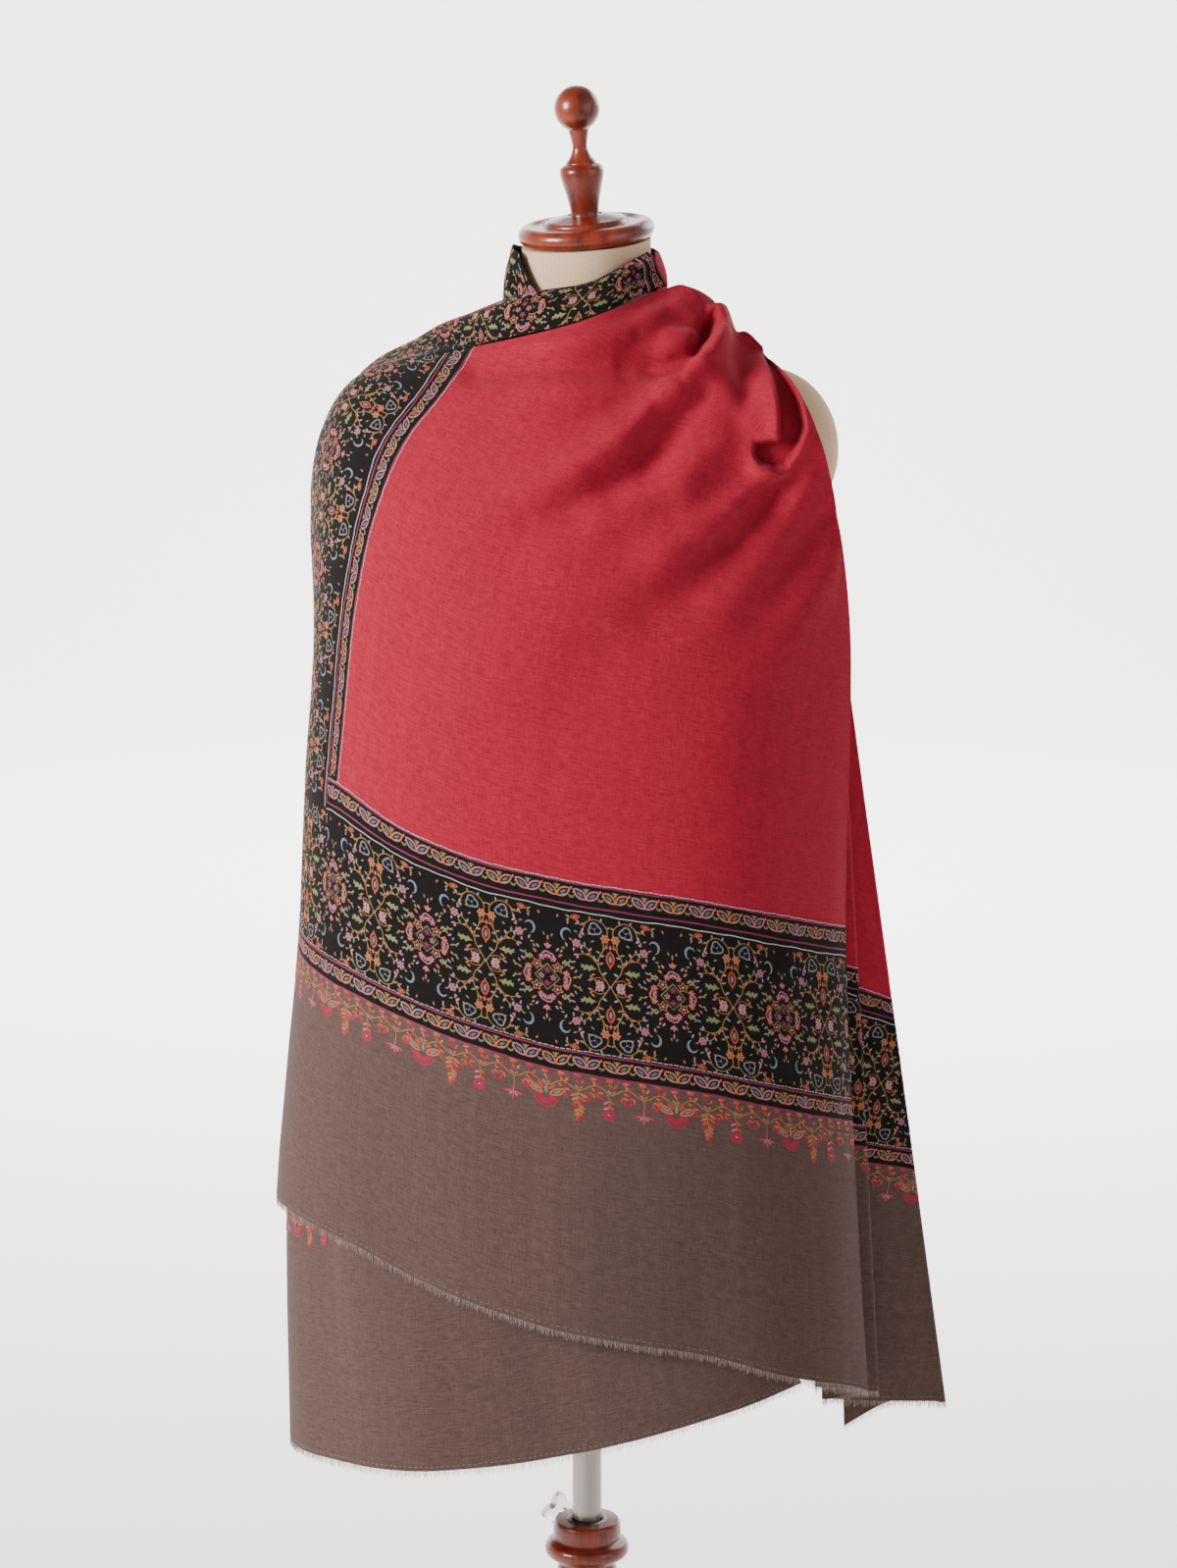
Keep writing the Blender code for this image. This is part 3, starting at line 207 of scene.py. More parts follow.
# Broad folds of the layers, by angle and height, ridges above zero and troughs below
FRONT_FOLDS = table(
    FOLD_KEYS,
    (12, 1.260, -30, 1.060, -0.002, -0.002, 0.040, 0.060), (66, 1.150, 60, 0.600, 0.001, 0.005, 0.020, 0.035),
    (40, 1.000, 30, 0.620, -0.001, -0.005, 0.030, 0.045), (0, 0.950, -4, 0.640, 0.001, 0.004, 0.030, 0.045),
    (-46, 1.000, -44, 0.680, 0.000, -0.005, 0.030, 0.035),
)
UNDER_FOLDS = table(
    FOLD_KEYS,
    (-56, 0.760, -44, 0.500, 0.004, 0.006, 0.022, 0.030),
    (-68, 0.800, -62, 0.520, -0.006, -0.003, 0.020, 0.028),
    (-16, 0.700, -10, 0.530, -0.002, -0.004, 0.030, 0.040),
)
BACK_FOLDS = table(
    FOLD_KEYS,
    (112, 1.400, 150, 1.100, 0.010, 0.006, 0.012, 0.030),
    (122, 1.410, 166, 1.120, -0.010, -0.005, 0.012, 0.032),
    (128, 1.420, 186, 1.180, 0.009, 0.004, 0.012, 0.032),
    (136, 1.435, 206, 1.260, -0.008, -0.003, 0.012, 0.030),
    (146, 1.442, 222, 1.340, 0.006, 0.002, 0.012, 0.026),
    (176, 1.050, 186, 0.500, 0.003, 0.012, 0.020, 0.024),
    (192, 1.020, 200, 0.500, -0.002, -0.012, 0.020, 0.024),
    (214, 1.000, 216, 0.500, 0.002, 0.010, 0.022, 0.026),
    (232, 0.980, 233, 0.500, -0.002, -0.009, 0.020, 0.026),
)

# Finer folds of the back: they fan out from the gathered shoulder and fall from the other one
BACK_CREASES = table(
    FOLD_KEYS,
    (118, 1.405, 158, 1.060, 0.005, 0.005, 0.010, 0.026),
    (125, 1.415, 176, 1.080, -0.006, -0.005, 0.009, 0.024),
    (132, 1.425, 194, 1.130, 0.006, 0.005, 0.010, 0.028),
    (141, 1.436, 212, 1.190, -0.005, -0.005, 0.010, 0.024),
    (150, 1.440, 228, 1.270, 0.004, 0.004, 0.012, 0.026),
    (163, 1.442, 238, 1.345, -0.003, -0.004, 0.012, 0.020),
    (243, 1.370, 226, 0.900, 0.003, 0.008, 0.018, 0.032),
    (250, 1.330, 243, 0.780, -0.003, -0.008, 0.016, 0.028),
    (205, 1.120, 208, 0.620, -0.003, -0.007, 0.022, 0.026),
    (180, 1.000, 190, 0.520, 0.002, 0.006, 0.018, 0.024),
    (256, 1.200, 254, 0.520, 0.002, 0.006, 0.018, 0.024),
)

# Pleats standing up on the shoulder's crest
CREST = table(
    "across high wide",
    (0.078, 0.0035, 0.010), (0.0945, -0.0045, 0.005), (0.1085, 0.0085, 0.0070), (0.121, -0.003, 0.005),
)

# The folds that run from the gathered shoulder over the chest: each is a line of places seen from
# the drape's front, with its height there and its width on the near and far side
GATHER_FOLDS = [table(GATHER_KEYS, *stations) for stations in (
    # the pad below the throat
    ((0.073, 1.4620, 0.004, 0.012, 0.012), (0.030, 1.4380, 0.004, 0.010, 0.010),
     (-0.030, 1.4300, 0.003, 0.009, 0.009)),
    # the long shallow valley under the rolled border
    ((0.073, 1.4155, -0.006, 0.009, 0.009), (0.030, 1.4145, -0.006, 0.011, 0.011),
     (-0.030, 1.4165, -0.005, 0.012, 0.012), (-0.090, 1.4090, -0.004, 0.012, 0.012)),
    # the dark crease beside the pad
    ((0.105, 1.4550, -0.010, 0.005, 0.005), (0.089, 1.4285, -0.013, 0.007, 0.007),
     (0.073, 1.4155, -0.010, 0.009, 0.009), (0.060, 1.4100, -0.004, 0.010, 0.010)),
    # the main ridge
    ((0.107, 1.4390, 0.007, 0.008, 0.010), (0.089, 1.4180, 0.010, 0.010, 0.014),
     (0.068, 1.3970, 0.011, 0.013, 0.017), (0.047, 1.3760, 0.010, 0.015, 0.018),
     (0.024, 1.3550, 0.009, 0.017, 0.020), (-0.008, 1.3320, 0.007, 0.020, 0.022),
     (-0.042, 1.3080, 0.005, 0.024, 0.026), (-0.078, 1.2790, 0.002, 0.030, 0.030)),
    # a faint crease above it
    ((0.073, 1.4000, -0.003, 0.006, 0.006), (0.052, 1.3890, -0.004, 0.008, 0.008),
     (0.021, 1.3810, -0.003, 0.010, 0.010), (-0.016, 1.3740, -0.002, 0.012, 0.012),
     (-0.068, 1.3660, -0.001, 0.014, 0.014)),
    # the valley below the ridge
    ((0.089, 1.3920, -0.004, 0.010, 0.010), (0.063, 1.3630, -0.007, 0.013, 0.013),
     (0.042, 1.3370, -0.008, 0.015, 0.015), (0.016, 1.3210, -0.007, 0.016, 0.016),
     (-0.016, 1.3055, -0.005, 0.018, 0.018), (-0.047, 1.2920, -0.004, 0.020, 0.020),
     (-0.078, 1.2690, -0.002, 0.026, 0.026)),
    # a short dent on the upper right
    ((0.122, 1.4180, -0.003, 0.008, 0.008), (0.127, 1.3940, -0.005, 0.011, 0.009),
     (0.119, 1.3720, -0.004, 0.014, 0.012)),
    # the broad soft ridge
    ((0.120, 1.3740, 0.003, 0.014, 0.014), (0.089, 1.3420, 0.004, 0.016, 0.016),
     (0.073, 1.3210, 0.005, 0.018, 0.018), (0.042, 1.3110, 0.004, 0.018, 0.018),
     (0.010, 1.2950, 0.004, 0.020, 0.020), (-0.016, 1.2690, 0.002, 0.028, 0.028)),
    # the ridge down from the cowl
    ((0.140, 1.3300, 0.005, 0.012, 0.012), (0.115, 1.3000, 0.007, 0.016, 0.014),
     (0.089, 1.2790, 0.007, 0.020, 0.016), (0.063, 1.2620, 0.006, 0.024, 0.020),
     (0.020, 1.2320, 0.004, 0.032, 0.028), (-0.070, 1.1750, 0.002, 0.048, 0.044)),
    # the valley under that ridge
    ((0.150, 1.3180, -0.003, 0.010, 0.012), (0.130, 1.2980, -0.006, 0.012, 0.018),
     (0.112, 1.2770, -0.008, 0.014, 0.022), (0.091, 1.2620, -0.008, 0.016, 0.026),
     (0.075, 1.2450, -0.007, 0.018, 0.030), (0.048, 1.2320, -0.005, 0.024, 0.034),
     (0.020, 1.2150, -0.002, 0.030, 0.040)),
    # the folds down the side
    ((0.176, 1.3250, 0.003, 0.010, 0.010), (0.160, 1.2980, 0.004, 0.012, 0.012),
     (0.140, 1.2720, 0.003, 0.018, 0.018), (0.110, 1.2350, 0.001, 0.030, 0.030)),
    ((0.192, 1.2920, -0.003, 0.010, 0.010), (0.165, 1.2560, -0.004, 0.014, 0.014),
     (0.135, 1.2150, -0.003, 0.022, 0.022), (0.100, 1.1600, -0.001, 0.030, 0.030)),
    ((0.200, 1.2620, 0.002, 0.010, 0.010), (0.180, 1.2350, 0.003, 0.016, 0.016),
     (0.140, 1.1800, 0.003, 0.030, 0.030), (0.100, 1.1200, 0.001, 0.045, 0.045)),
)]

# The hollow of the cowl at the shoulder, its outline seen from the drape's front. soft is how
# gently the cloth turns in there, lip how far it stands out beside it
COWL = table(
    "x up soft lip",
    (0.1385, 1.4300, 0.004, 0.000), (0.1460, 1.4180, 0.006, 0.002), (0.1580, 1.4000, 0.007, 0.007),
    (0.1680, 1.3840, 0.007, 0.007), (0.1715, 1.3660, 0.006, 0.008), (0.1650, 1.3490, 0.006, 0.006),
    (0.1570, 1.3370, 0.006, 0.007), (0.1460, 1.3325, 0.006, 0.007), (0.1360, 1.3360, 0.006, 0.006),
    (0.1300, 1.3440, 0.008, 0.003), (0.1320, 1.3540, 0.009, 0.001), (0.1510, 1.3560, 0.0045, 0.008),
    (0.1505, 1.3740, 0.0035, 0.011), (0.1475, 1.3940, 0.0035, 0.009), (0.1405, 1.4180, 0.0035, 0.003),
)
COWL_DEPTH = 0.034

# Where the end border's upper and lower lines run on the top layer, by angle
TOP_LINE = table(
    "angle up",
    (-99.0, 1.090), (-80.0, 1.083), (-64.6, 1.077), (-47.7, 1.048), (-34.0, 1.030), (-25.6, 1.022),
    (-10.3, 1.013), (0.4, 1.007), (9.2, 1.003), (33.8, 0.989), (76.2, 0.950),
)
LOW_LINE = table(
    "angle up",
    (-99.0, 0.934), (-80.5, 0.926), (-60.2, 0.910), (-37.6, 0.884), (-9.9, 0.859), (0.4, 0.854),
    (32.6, 0.833), (74.1, 0.786),
)

# The side guard's inner and outer lines on the top layer, as shares of its width, by height, and
# the height of the red field's lower corner
SIDE_LINES = table(
    "up field guard",
    (1.440, 0.415, 0.365), (1.424, 0.398, 0.353), (1.396, 0.366, 0.322), (1.380, 0.342, 0.300),
    (1.362, 0.312, 0.272), (1.341, 0.289, 0.252), (1.319, 0.272, 0.240), (1.301, 0.260, 0.229),
    (1.277, 0.252, 0.223), (1.236, 0.245, 0.217), (1.186, 0.236, 0.208), (1.135, 0.228, 0.201),
    (1.075, 0.219, 0.194),
)
CORNER_UP = 1.06


def smooth(t):
    t = np.clip(t, 0.0, 1.0)
    return t * t * (3.0 - 2.0 * t)


def lerp(a, b, t):
    return a + (b - a) * t


def table_value(rows, key, name, at):
    """A column of a table read at any values of its key column, on a smooth curve through the rows."""
    order = sorted(rows, key=lambda row: row[key])
    x = np.array([row[key] for row in order], float)
    y = np.array([row[name] for row in order], float)
    at = np.clip(np.asarray(at, float), x[0], x[-1])
    slope = np.empty_like(y)
    slope[1:-1] = (y[2:] - y[:-2]) / (x[2:] - x[:-2])
    slope[0] = (y[1] - y[0]) / (x[1] - x[0])
    slope[-1] = (y[-1] - y[-2]) / (x[-1] - x[-2])
    k = np.clip(np.searchsorted(x, at, side="right") - 1, 0, len(x) - 2)
    span = x[k + 1] - x[k]
    t = (at - x[k]) / span
    t2, t3 = t * t, t * t * t
    return ((2 * t3 - 3 * t2 + 1) * y[k] + (t3 - 2 * t2 + t) * slope[k] * span
            + (3 * t2 - 2 * t3) * y[k + 1] + (t3 - t2) * slope[k + 1] * span)


def interp_points(at, along, points):
    """Places read at values of a rising key along a line of points."""
    return np.stack([np.interp(at, along, points[:, k]) for k in range(3)], axis=-1)


def wrapped(angle, middle):
    """Angles brought within half a turn of a middle one."""
    return (angle - middle + 180.0) % 360.0 - 180.0 + middle


def drape_point(across, toward, up):
    c, s = math.cos(DRAPE_TURN), math.sin(DRAPE_TURN)
    across, toward, up = np.broadcast_arrays(across, toward, up)
    return np.stack([across * c + toward * s, across * s - toward * c, up], axis=-1)


def drape_place(p):
    """Across and toward of points in the form's frame."""
    c, s = math.cos(DRAPE_TURN), math.sin(DRAPE_TURN)
    return p[..., 0] * c + p[..., 1] * s, p[..., 0] * s - p[..., 1] * c


def across_of(p):
    return drape_place(p)[0]


def ring_point(angle, up, out=0.0):
    """Across and toward of the hanging cloth, by angle and height."""
    s, c = np.sin(np.radians(angle)), np.cos(np.radians(angle))
    left, right, front, back = (table_value(HANG_RINGS, "up", name, up) + out
                                for name in ("left", "right", "front", "back"))
    a, b = np.where(s >= 0, right, left), np.where(c >= 0, front, back)
    r = ((np.abs(s) / a) ** RING_SQUARE + (np.abs(c) / b) ** RING_SQUARE) ** (-1.0 / RING_SQUARE)
    off = wrapped(angle - ARM_BEARING, 0.0)
    r = r + ARM_SWELL * np.exp(-(off / ARM_SWELL_WIDE) ** 2) * smooth((up - 1.17) / 0.13)
    return r * s, r * c


def form_level(p):
    up = np.clip(p[..., 2], FORM_BOTTOM, NECK_TOP)
    a = table_value(FORM_SECTIONS, "up", "half", up)
    b = np.where(p[..., 1] < 0, table_value(FORM_SECTIONS, "up", "front", up),
                 table_value(FORM_SECTIONS, "up", "back", up))
    q = (np.abs(p[..., 0]) / a) ** FORM_SQUARE + (np.abs(p[..., 1]) / b) ** FORM_SQUARE
    return q ** (1 / FORM_SQUARE) - 1.0


def arm_level(p):
    q = np.stack([np.abs(p[..., 0]), p[..., 1], p[..., 2]], axis=-1) - np.array(ARM_CENTRE)
    return np.sqrt(((q / np.array(ARM_HALF)) ** 2).sum(-1)) - 1.0


def nearest_form(p):
    """The distance to the form or its arm cap, whichever is nearer, and the way out from it."""
    step = 0.0005
    found = []
    for level in (form_level, arm_level):
        slope = np.stack([(level(p + step * axis) - level(p - step * axis)) / (2 * step)
                          for axis in np.eye(3)], axis=-1)
        size = np.maximum(np.linalg.norm(slope, axis=-1), 1.0)
        found.append((level(p) / size, slope / size[..., None]))
    (gap, way), (arm_gap, arm_way) = found
    nearer = arm_gap < gap
    return np.where(nearer, arm_gap, gap), np.where(nearer[..., None], arm_way, way)


def settle(p, least, most=1.0):
    """Points moved out or in until they lie between two distances from the form."""
    for _ in range(8):
        gap, way = nearest_form(p)
        move = np.where(gap < least, least - gap, np.where(gap > most, most - gap, 0.0))
        if np.abs(move).max() < 1e-5:
            break
        p = p + way * move[..., None]
    return p


def fold_height(folds, angle, up):
    total = np.zeros(np.broadcast(angle, up).shape)
    for fold in folds:
        ax, ay = math.radians(fold["angle_a"]) * FOLD_RADIUS, fold["up_a"]
        bx, by = math.radians(fold["angle_b"]) * FOLD_RADIUS, fold["up_b"]
        px, py = np.radians(angle) * FOLD_RADIUS, up
        dx, dy = bx - ax, by - ay
        length = math.hypot(dx, dy)
        along = ((px - ax) * dx + (py - ay) * dy) / length ** 2
        t = np.clip(along, 0.0, 1.0)
        off = np.abs((px - ax) * dy - (py - ay) * dx) / length
        beyond = np.maximum(np.maximum(-along, along - 1.0), 0.0) * length
        width = lerp(fold["wide_a"], fold["wide_b"], t)
        height = lerp(fold["high_a"], fold["high_b"], t)
        total += height * np.exp(-(off / width) ** 2 - (beyond / (0.8 * width)) ** 2)
    return total


def on_segment(a, b, x, up):
    """The share along a line between two rows of a table that is nearest to each place, and the
    way from there to the place."""
    dx, dz = b["x"] - a["x"], b["up"] - a["up"]
    t = np.clip(((x - a["x"]) * dx + (up - a["up"]) * dz) / (dx * dx + dz * dz), 0.0, 1.0)
    return t, x - a["x"] - t * dx, up - a["up"] - t * dz


def path_height(folds, x, up):
    """Ridges and troughs along lines of places, with a width of its own on each side."""
    total = np.zeros(x.shape)
    for stations in folds:
        offs, values = [], []
        for a, b in zip(stations, stations[1:]):
            t, ox, oz = on_segment(a, b, x, up)
            dx, dz = b["x"] - a["x"], b["up"] - a["up"]
            off = np.hypot(ox, oz)
            side_off = (ox * dz - oz * dx) / math.hypot(dx, dz)
            far = 0.5 - 0.5 * np.tanh(side_off / 0.006)
            wide = lerp(lerp(a["near"], b["near"], t), lerp(a["far"], b["far"], t), far)
            offs.append(off)
            values.append(lerp(a["high"], b["high"], t) * np.exp(-(off / wide) ** 2))
        offs, values = np.array(offs), np.array(values)
        weight = np.exp(-(offs - offs.min(axis=0)) / 0.004)
        total += (values * weight).sum(axis=0) / weight.sum(axis=0)
    return total


def along_curve(values, at):
    """Rows of values read at fractional places, on a smooth curve through them."""
    last = len(values) - 1
    k = np.clip(at.astype(int), 0, last - 1)
    t = (at - k).reshape((-1,) + (1,) * (values.ndim - 1))
    p1, p2 = values[k], values[k + 1]
    p0 = np.where((k > 0).reshape(t.shape), values[np.maximum(k - 1, 0)], 2 * p1 - p2)
    p3 = np.where((k < last - 1).reshape(t.shape), values[np.minimum(k + 2, last)], 2 * p2 - p1)
    return 0.5 * (2 * p1 + (p2 - p0) * t + (2 * p0 - 5 * p1 + 4 * p2 - p3) * t ** 2
                  + (3 * p1 - 3 * p2 + p3 - p0) * t ** 3)


def refine(grid, at_i, at_j):
    """A coarse grid's surface read at finer columns and rows."""
    fine = along_curve(grid, at_i)
    return np.swapaxes(along_curve(np.swapaxes(fine, 0, 1), at_j), 0, 1)


def soften(values, rounds):
    """A field over a grid, averaged with its neighbours."""
    for _ in range(rounds):
        padded = np.pad(values, ((1, 1), (0, 0)), mode="edge")
        values = 0.25 * padded[:-2] + 0.5 * padded[1:-1] + 0.25 * padded[2:]
        padded = np.pad(values, ((0, 0), (1, 1)), mode="edge")
        values = 0.25 * padded[:, :-2] + 0.5 * padded[:, 1:-1] + 0.25 * padded[:, 2:]
    return values


def fine_layer(grid, u, dome_rows, hang_rows, fine_dome, fine_hang, middle):
    """A layer's surface at finer places, with each place's angle and share of the dome."""
    rows = np.concatenate([np.arange(fine_dome) / fine_dome * dome_rows,
                           dome_rows + np.arange(fine_hang + 1) / fine_hang * hang_rows])
    p = refine(grid, u * (len(grid) - 1), rows)
    across, toward = drape_place(p)
    angle = wrapped(np.degrees(np.arctan2(across, toward)), middle)
    return p, angle, np.broadcast_to(np.clip(rows / dome_rows, 0.0, 1.0)[None, :], angle.shape)


def grid_normals(p):
    def change(q):
        return np.concatenate([q[1:2] - q[:1], q[2:] - q[:-2], q[-1:] - q[-2:-1]])

    n = np.cross(np.swapaxes(change(np.swapaxes(p, 0, 1)), 0, 1), change(p))
    return n / np.maximum(np.linalg.norm(n, axis=-1, keepdims=True), 1e-12)


def draped(columns, folds, count, dome_rows, hang_rows, out, least, hug):
    """Points of a layer: over the shoulder to the knee, then hanging. hug is how near to the form it
    lies at its top, or 0."""
    u = np.arange(count + 1) / count
    col = {name: table_value(columns, "u", name, u)[:, None] for name in columns[0]}
    s = (np.arange(dome_rows) / dome_rows)[None, :]
    over = lerp(s, np.sin(math.pi / 2 * s), col["dome"])
    down = lerp(s, 1 - np.cos(math.pi / 2 * s), col["dome"])
    knee_across, knee_toward = ring_point(col["knee"], np.full_like(col["knee"], KNEE), out)
    across = lerp(col["across"], knee_across, over)
    toward = lerp(col["toward"], knee_toward, over)
    up = lerp(col["up"], KNEE, down)
    most = lerp(hug, 0.08, smooth((s - 0.35) / 0.65)) if hug else 1.0
    dome = settle(drape_point(across, toward, up), least, most)
    t = (np.arange(hang_rows + 1) / hang_rows)[None, :]
    hang_up = lerp(KNEE, col["hem_up"], t)
    hang_angle = lerp(col["knee"], col["hem"], t)
    hang = drape_point(*ring_point(hang_angle, hang_up, out), hang_up)
    p = np.concatenate([dome, hang], axis=1)
    angle = np.concatenate([np.degrees(np.arctan2(across, toward)), hang_angle], axis=1)
    angle = wrapped(angle, lerp(columns[0]["knee"], columns[-1]["knee"], 0.5))
    height = np.concatenate([up, hang_up], axis=1)
    from_top = np.concatenate([smooth(s * 5.0), np.ones((1, hang_rows + 1))], axis=1)
    rise = fold_height(folds, angle, height) * from_top
    return settle(p + grid_normals(p) * rise[..., None], least)


def pull_to_right_fold(p, u):
    target = drape_point(table_value(RIGHT_FOLD, "up", "across", p[-1, :, 2]),
                         table_value(RIGHT_FOLD, "up", "toward", p[-1, :, 2]), p[-1, :, 2])
    share = smooth((u - RIGHT_FOLD_PULL) / (1.0 - RIGHT_FOLD_PULL))
    return p + (target - p[-1])[None] * share[:, None, None]


def spaced(count, dense_from, dense_to, extra):
    """Shares from 0 to 1, closer together between two of them."""
    t = np.linspace(0, 1, 2001)
    weight = 1.0 + extra * smooth((t - dense_from) / 0.06) * smooth((dense_to + 0.06 - t) / 0.06)
    total = np.concatenate([[0.0], np.cumsum((weight[1:] + weight[:-1]) / 2)])
    return np.interp(np.linspace(0, total[-1], count), total, t)


def run_length(p, axis):
    """Distance along the rows or the columns of a grid from its start."""
    step = np.linalg.norm(np.diff(p, axis=axis), axis=-1)
    start = np.zeros_like(np.take(step, [0], axis=axis))
    return np.concatenate([start, np.cumsum(step, axis=axis)], axis=axis)


def height_over_hem(p):
    """Distance along the cloth from each place down to the hem."""
    down = run_length(p, 1)
    return down[:, -1:] - down


def crest_bump(across):
    """How the pleats stand up on the shoulder's crest."""
    return sum(row["high"] * np.exp(-((across - row["across"]) / row["wide"]) ** 2) for row in CREST)


def cowl_field(x, up):
    """How far the cowl's cloth goes in, from 0 to 1, and how far its lips stand out, in metres."""
    inside = np.zeros(x.shape, bool)
    nearest, soft, lip = np.full(x.shape, 1e9), np.zeros(x.shape), np.zeros(x.shape)
    for a, b in zip(COWL, COWL[1:] + COWL[:1]):
        t, ox, oz = on_segment(a, b, x, up)
        off = np.hypot(ox, oz)
        closer = off < nearest
        soft = np.where(closer, lerp(a["soft"], b["soft"], t), soft)
        lip = np.where(closer, lerp(a["lip"], b["lip"], t), lip)
        nearest = np.minimum(off, nearest)
        rise = b["up"] - a["up"]
        crosses = (a["up"] > up) != (b["up"] > up)
        at = a["x"] + (up - a["up"]) / (rise if abs(rise) > 1e-9 else 1e-9) * (b["x"] - a["x"])
        inside ^= crosses & (x < at)
    depth = np.where(inside, smooth(nearest / soft), 0.0)
    return depth, lip * np.exp(-(nearest / np.where(inside, 0.003, 0.0085)) ** 2)


def bridge_armhole(grid):
    """Lets the top layer span the dip between the trunk and the arm cap in even steps."""
    columns, rows = np.arange(len(grid)), np.arange(grid.shape[1])
    share = (smooth((columns - 24.0) / 2.0) * smooth((32.0 - columns) / 1.5))[:, None]
    share = share * (smooth(rows / 1.5) * smooth((9.5 - rows) / 3.0))[None, :]
    for _ in range(5):
        even = grid.copy()
        even[1:-1] = 0.25 * grid[:-2] + 0.5 * grid[1:-1] + 0.25 * grid[2:]
        grid = lerp(grid, even, share[..., None])
    return grid


def side_coordinate(u, z, run):
    """Distance across the fabric: the guard's two lines lie where the table puts them."""
    field = np.clip(table_value(SIDE_LINES, "up", "field", z), 0, 1)
    guard = np.clip(table_value(SIDE_LINES, "up", "guard", z), 0, 1)
    out = np.empty_like(z)
    for j in range(z.shape[1]):
        x = run[:, j]
        at_field, at_guard = (np.interp(np.interp(0.0, u - line[:, j], u), u, x) for line in (field, guard))
        inner = SIDE_FIELD + (x - at_field)
        middle = SIDE_MAIN + (x - at_guard) / max(at_field - at_guard, 1e-4) * TOP_GUARD
        outer = SIDE_MAIN + (x - at_guard) * min(1.0, (SIDE_MAIN - 0.0045) / at_guard)
        out[:, j] = np.where(x >= at_field, inner, np.where(x >= at_guard, middle, outer))
    # below the field's corner the threads run straight down
    for i in range(len(u)):
        fixed = np.interp(-CORNER_UP, -z[i], out[i])
        out[i] = lerp(out[i], fixed, smooth((CORNER_UP + 0.02 - z[i]) / 0.06))
    return out


def end_coordinate(angle, z, along):
    """Distance along the fabric: the end border's two lines lie where the tables put them."""
    top = table_value(TOP_LINE, "angle", "up", angle)
    low = table_value(LOW_LINE, "angle", "up", angle)
    out = np.empty_like(z)
    for i in range(len(z)):
        v = along[i]
        v_top, v_low = (np.interp(0.0, line[i] - z[i], v) for line in (top, low))
        border = TAUPE_END + (v - v_low) / (v_top - v_low) * (PALLA_TOP - TAUPE_END)
        out[i] = np.where(v < v_low, v / v_low * TAUPE_END,
                          np.where(v < v_top, border, PALLA_TOP + v - v_top))
    return out


def front_sheet():
    """The layer in front. Its fabric coordinates u and v run across from its turned edge and up from
    its hem, with the borders' lines where the tables put them."""
    u = spaced(*FRONT_SPREAD)
    coarse = draped(FRONT_COLUMNS, FRONT_FOLDS, count=32, dome_rows=9, hang_rows=14, out=0.009,
                    least=0.0125, hug=0.0)
    coarse = bridge_armhole(pull_to_right_fold(coarse, np.arange(33) / 32))
    p, angle, share = fine_layer(coarse, u, 9, 14, fine_dome=96, fine_hang=96, middle=-18.0)
    across, toward = drape_place(p)
    rise = FOLD_GAIN * path_height(GATHER_FOLDS, across, p[..., 2]) * smooth(share * 7.0)
    rise = rise * smooth((toward - 0.02) / 0.05) * smooth((0.2080 - across) / 0.012)
    p = p + grid_normals(p) * rise[..., None]
    p[..., 2] += crest_bump(across) * np.exp(-(share / 0.10) ** 2)
    depth, stand = cowl_field(across_of(p), p[..., 2])
    from_top = smooth(share * 9.0 - 0.3)
    p = p + grid_normals(p) * (soften(stand, 2) * from_top)[..., None]
    _, toward = drape_place(p)
    sink = np.minimum(soften(depth, 1) * from_top * COWL_DEPTH, np.maximum(toward - 0.058, 0.0))
    p = settle(p - drape_point(0.0, 1.0, 0.0) * sink[..., None], 0.003)
    z = p[..., 2]
    fabric_u = side_coordinate(u, z, run_length(p, 0))
    return dict(p=p, u=fabric_u, v=end_coordinate(angle, z, height_over_hem(p)), edge=fabric_u)


def tuck_behind(p, other, lap):
    """Draws a sheet's first column behind the last column of another."""
    order, key = -p[0, :, 2], -other[-1, :, 2]
    seat = interp_points(order, key, other[-1])
    way = interp_points(order, key, grid_normals(other)[-1])
    beyond = p[0] - p[2]
    beyond = beyond / np.linalg.norm(beyond, axis=-1, keepdims=True)
    low = smooth((1.40 - p[0, :, 2]) / 0.10)[:, None]
    move = (seat - way * (WALL + 0.0007) + beyond * lap - p[0]) * low
    move[:, 2] = 0.0
    fade = 1.0 - smooth(np.arange(len(p)) / 12.0)
    return p + move[None] * fade[:, None, None]


def under_sheet(back):
    coarse = draped(UNDER_COLUMNS, UNDER_FOLDS, count=15, dome_rows=8, hang_rows=13, out=0.0,
                    least=0.004, hug=0.006)
    p, _, _ = fine_layer(coarse, np.linspace(0, 1, 84), 8, 13, fine_dome=24, fine_hang=90, middle=-62.0)
    p = tuck_behind(p, back["p"], 0.003)
    hem = run_length(p, 0)[:, -1:]
    return dict(p=p, u=UNDER_START + np.broadcast_to(hem, p.shape[:2]), v=height_over_hem(p),
                edge=np.broadcast_to(hem[-1:] - hem, p.shape[:2]))


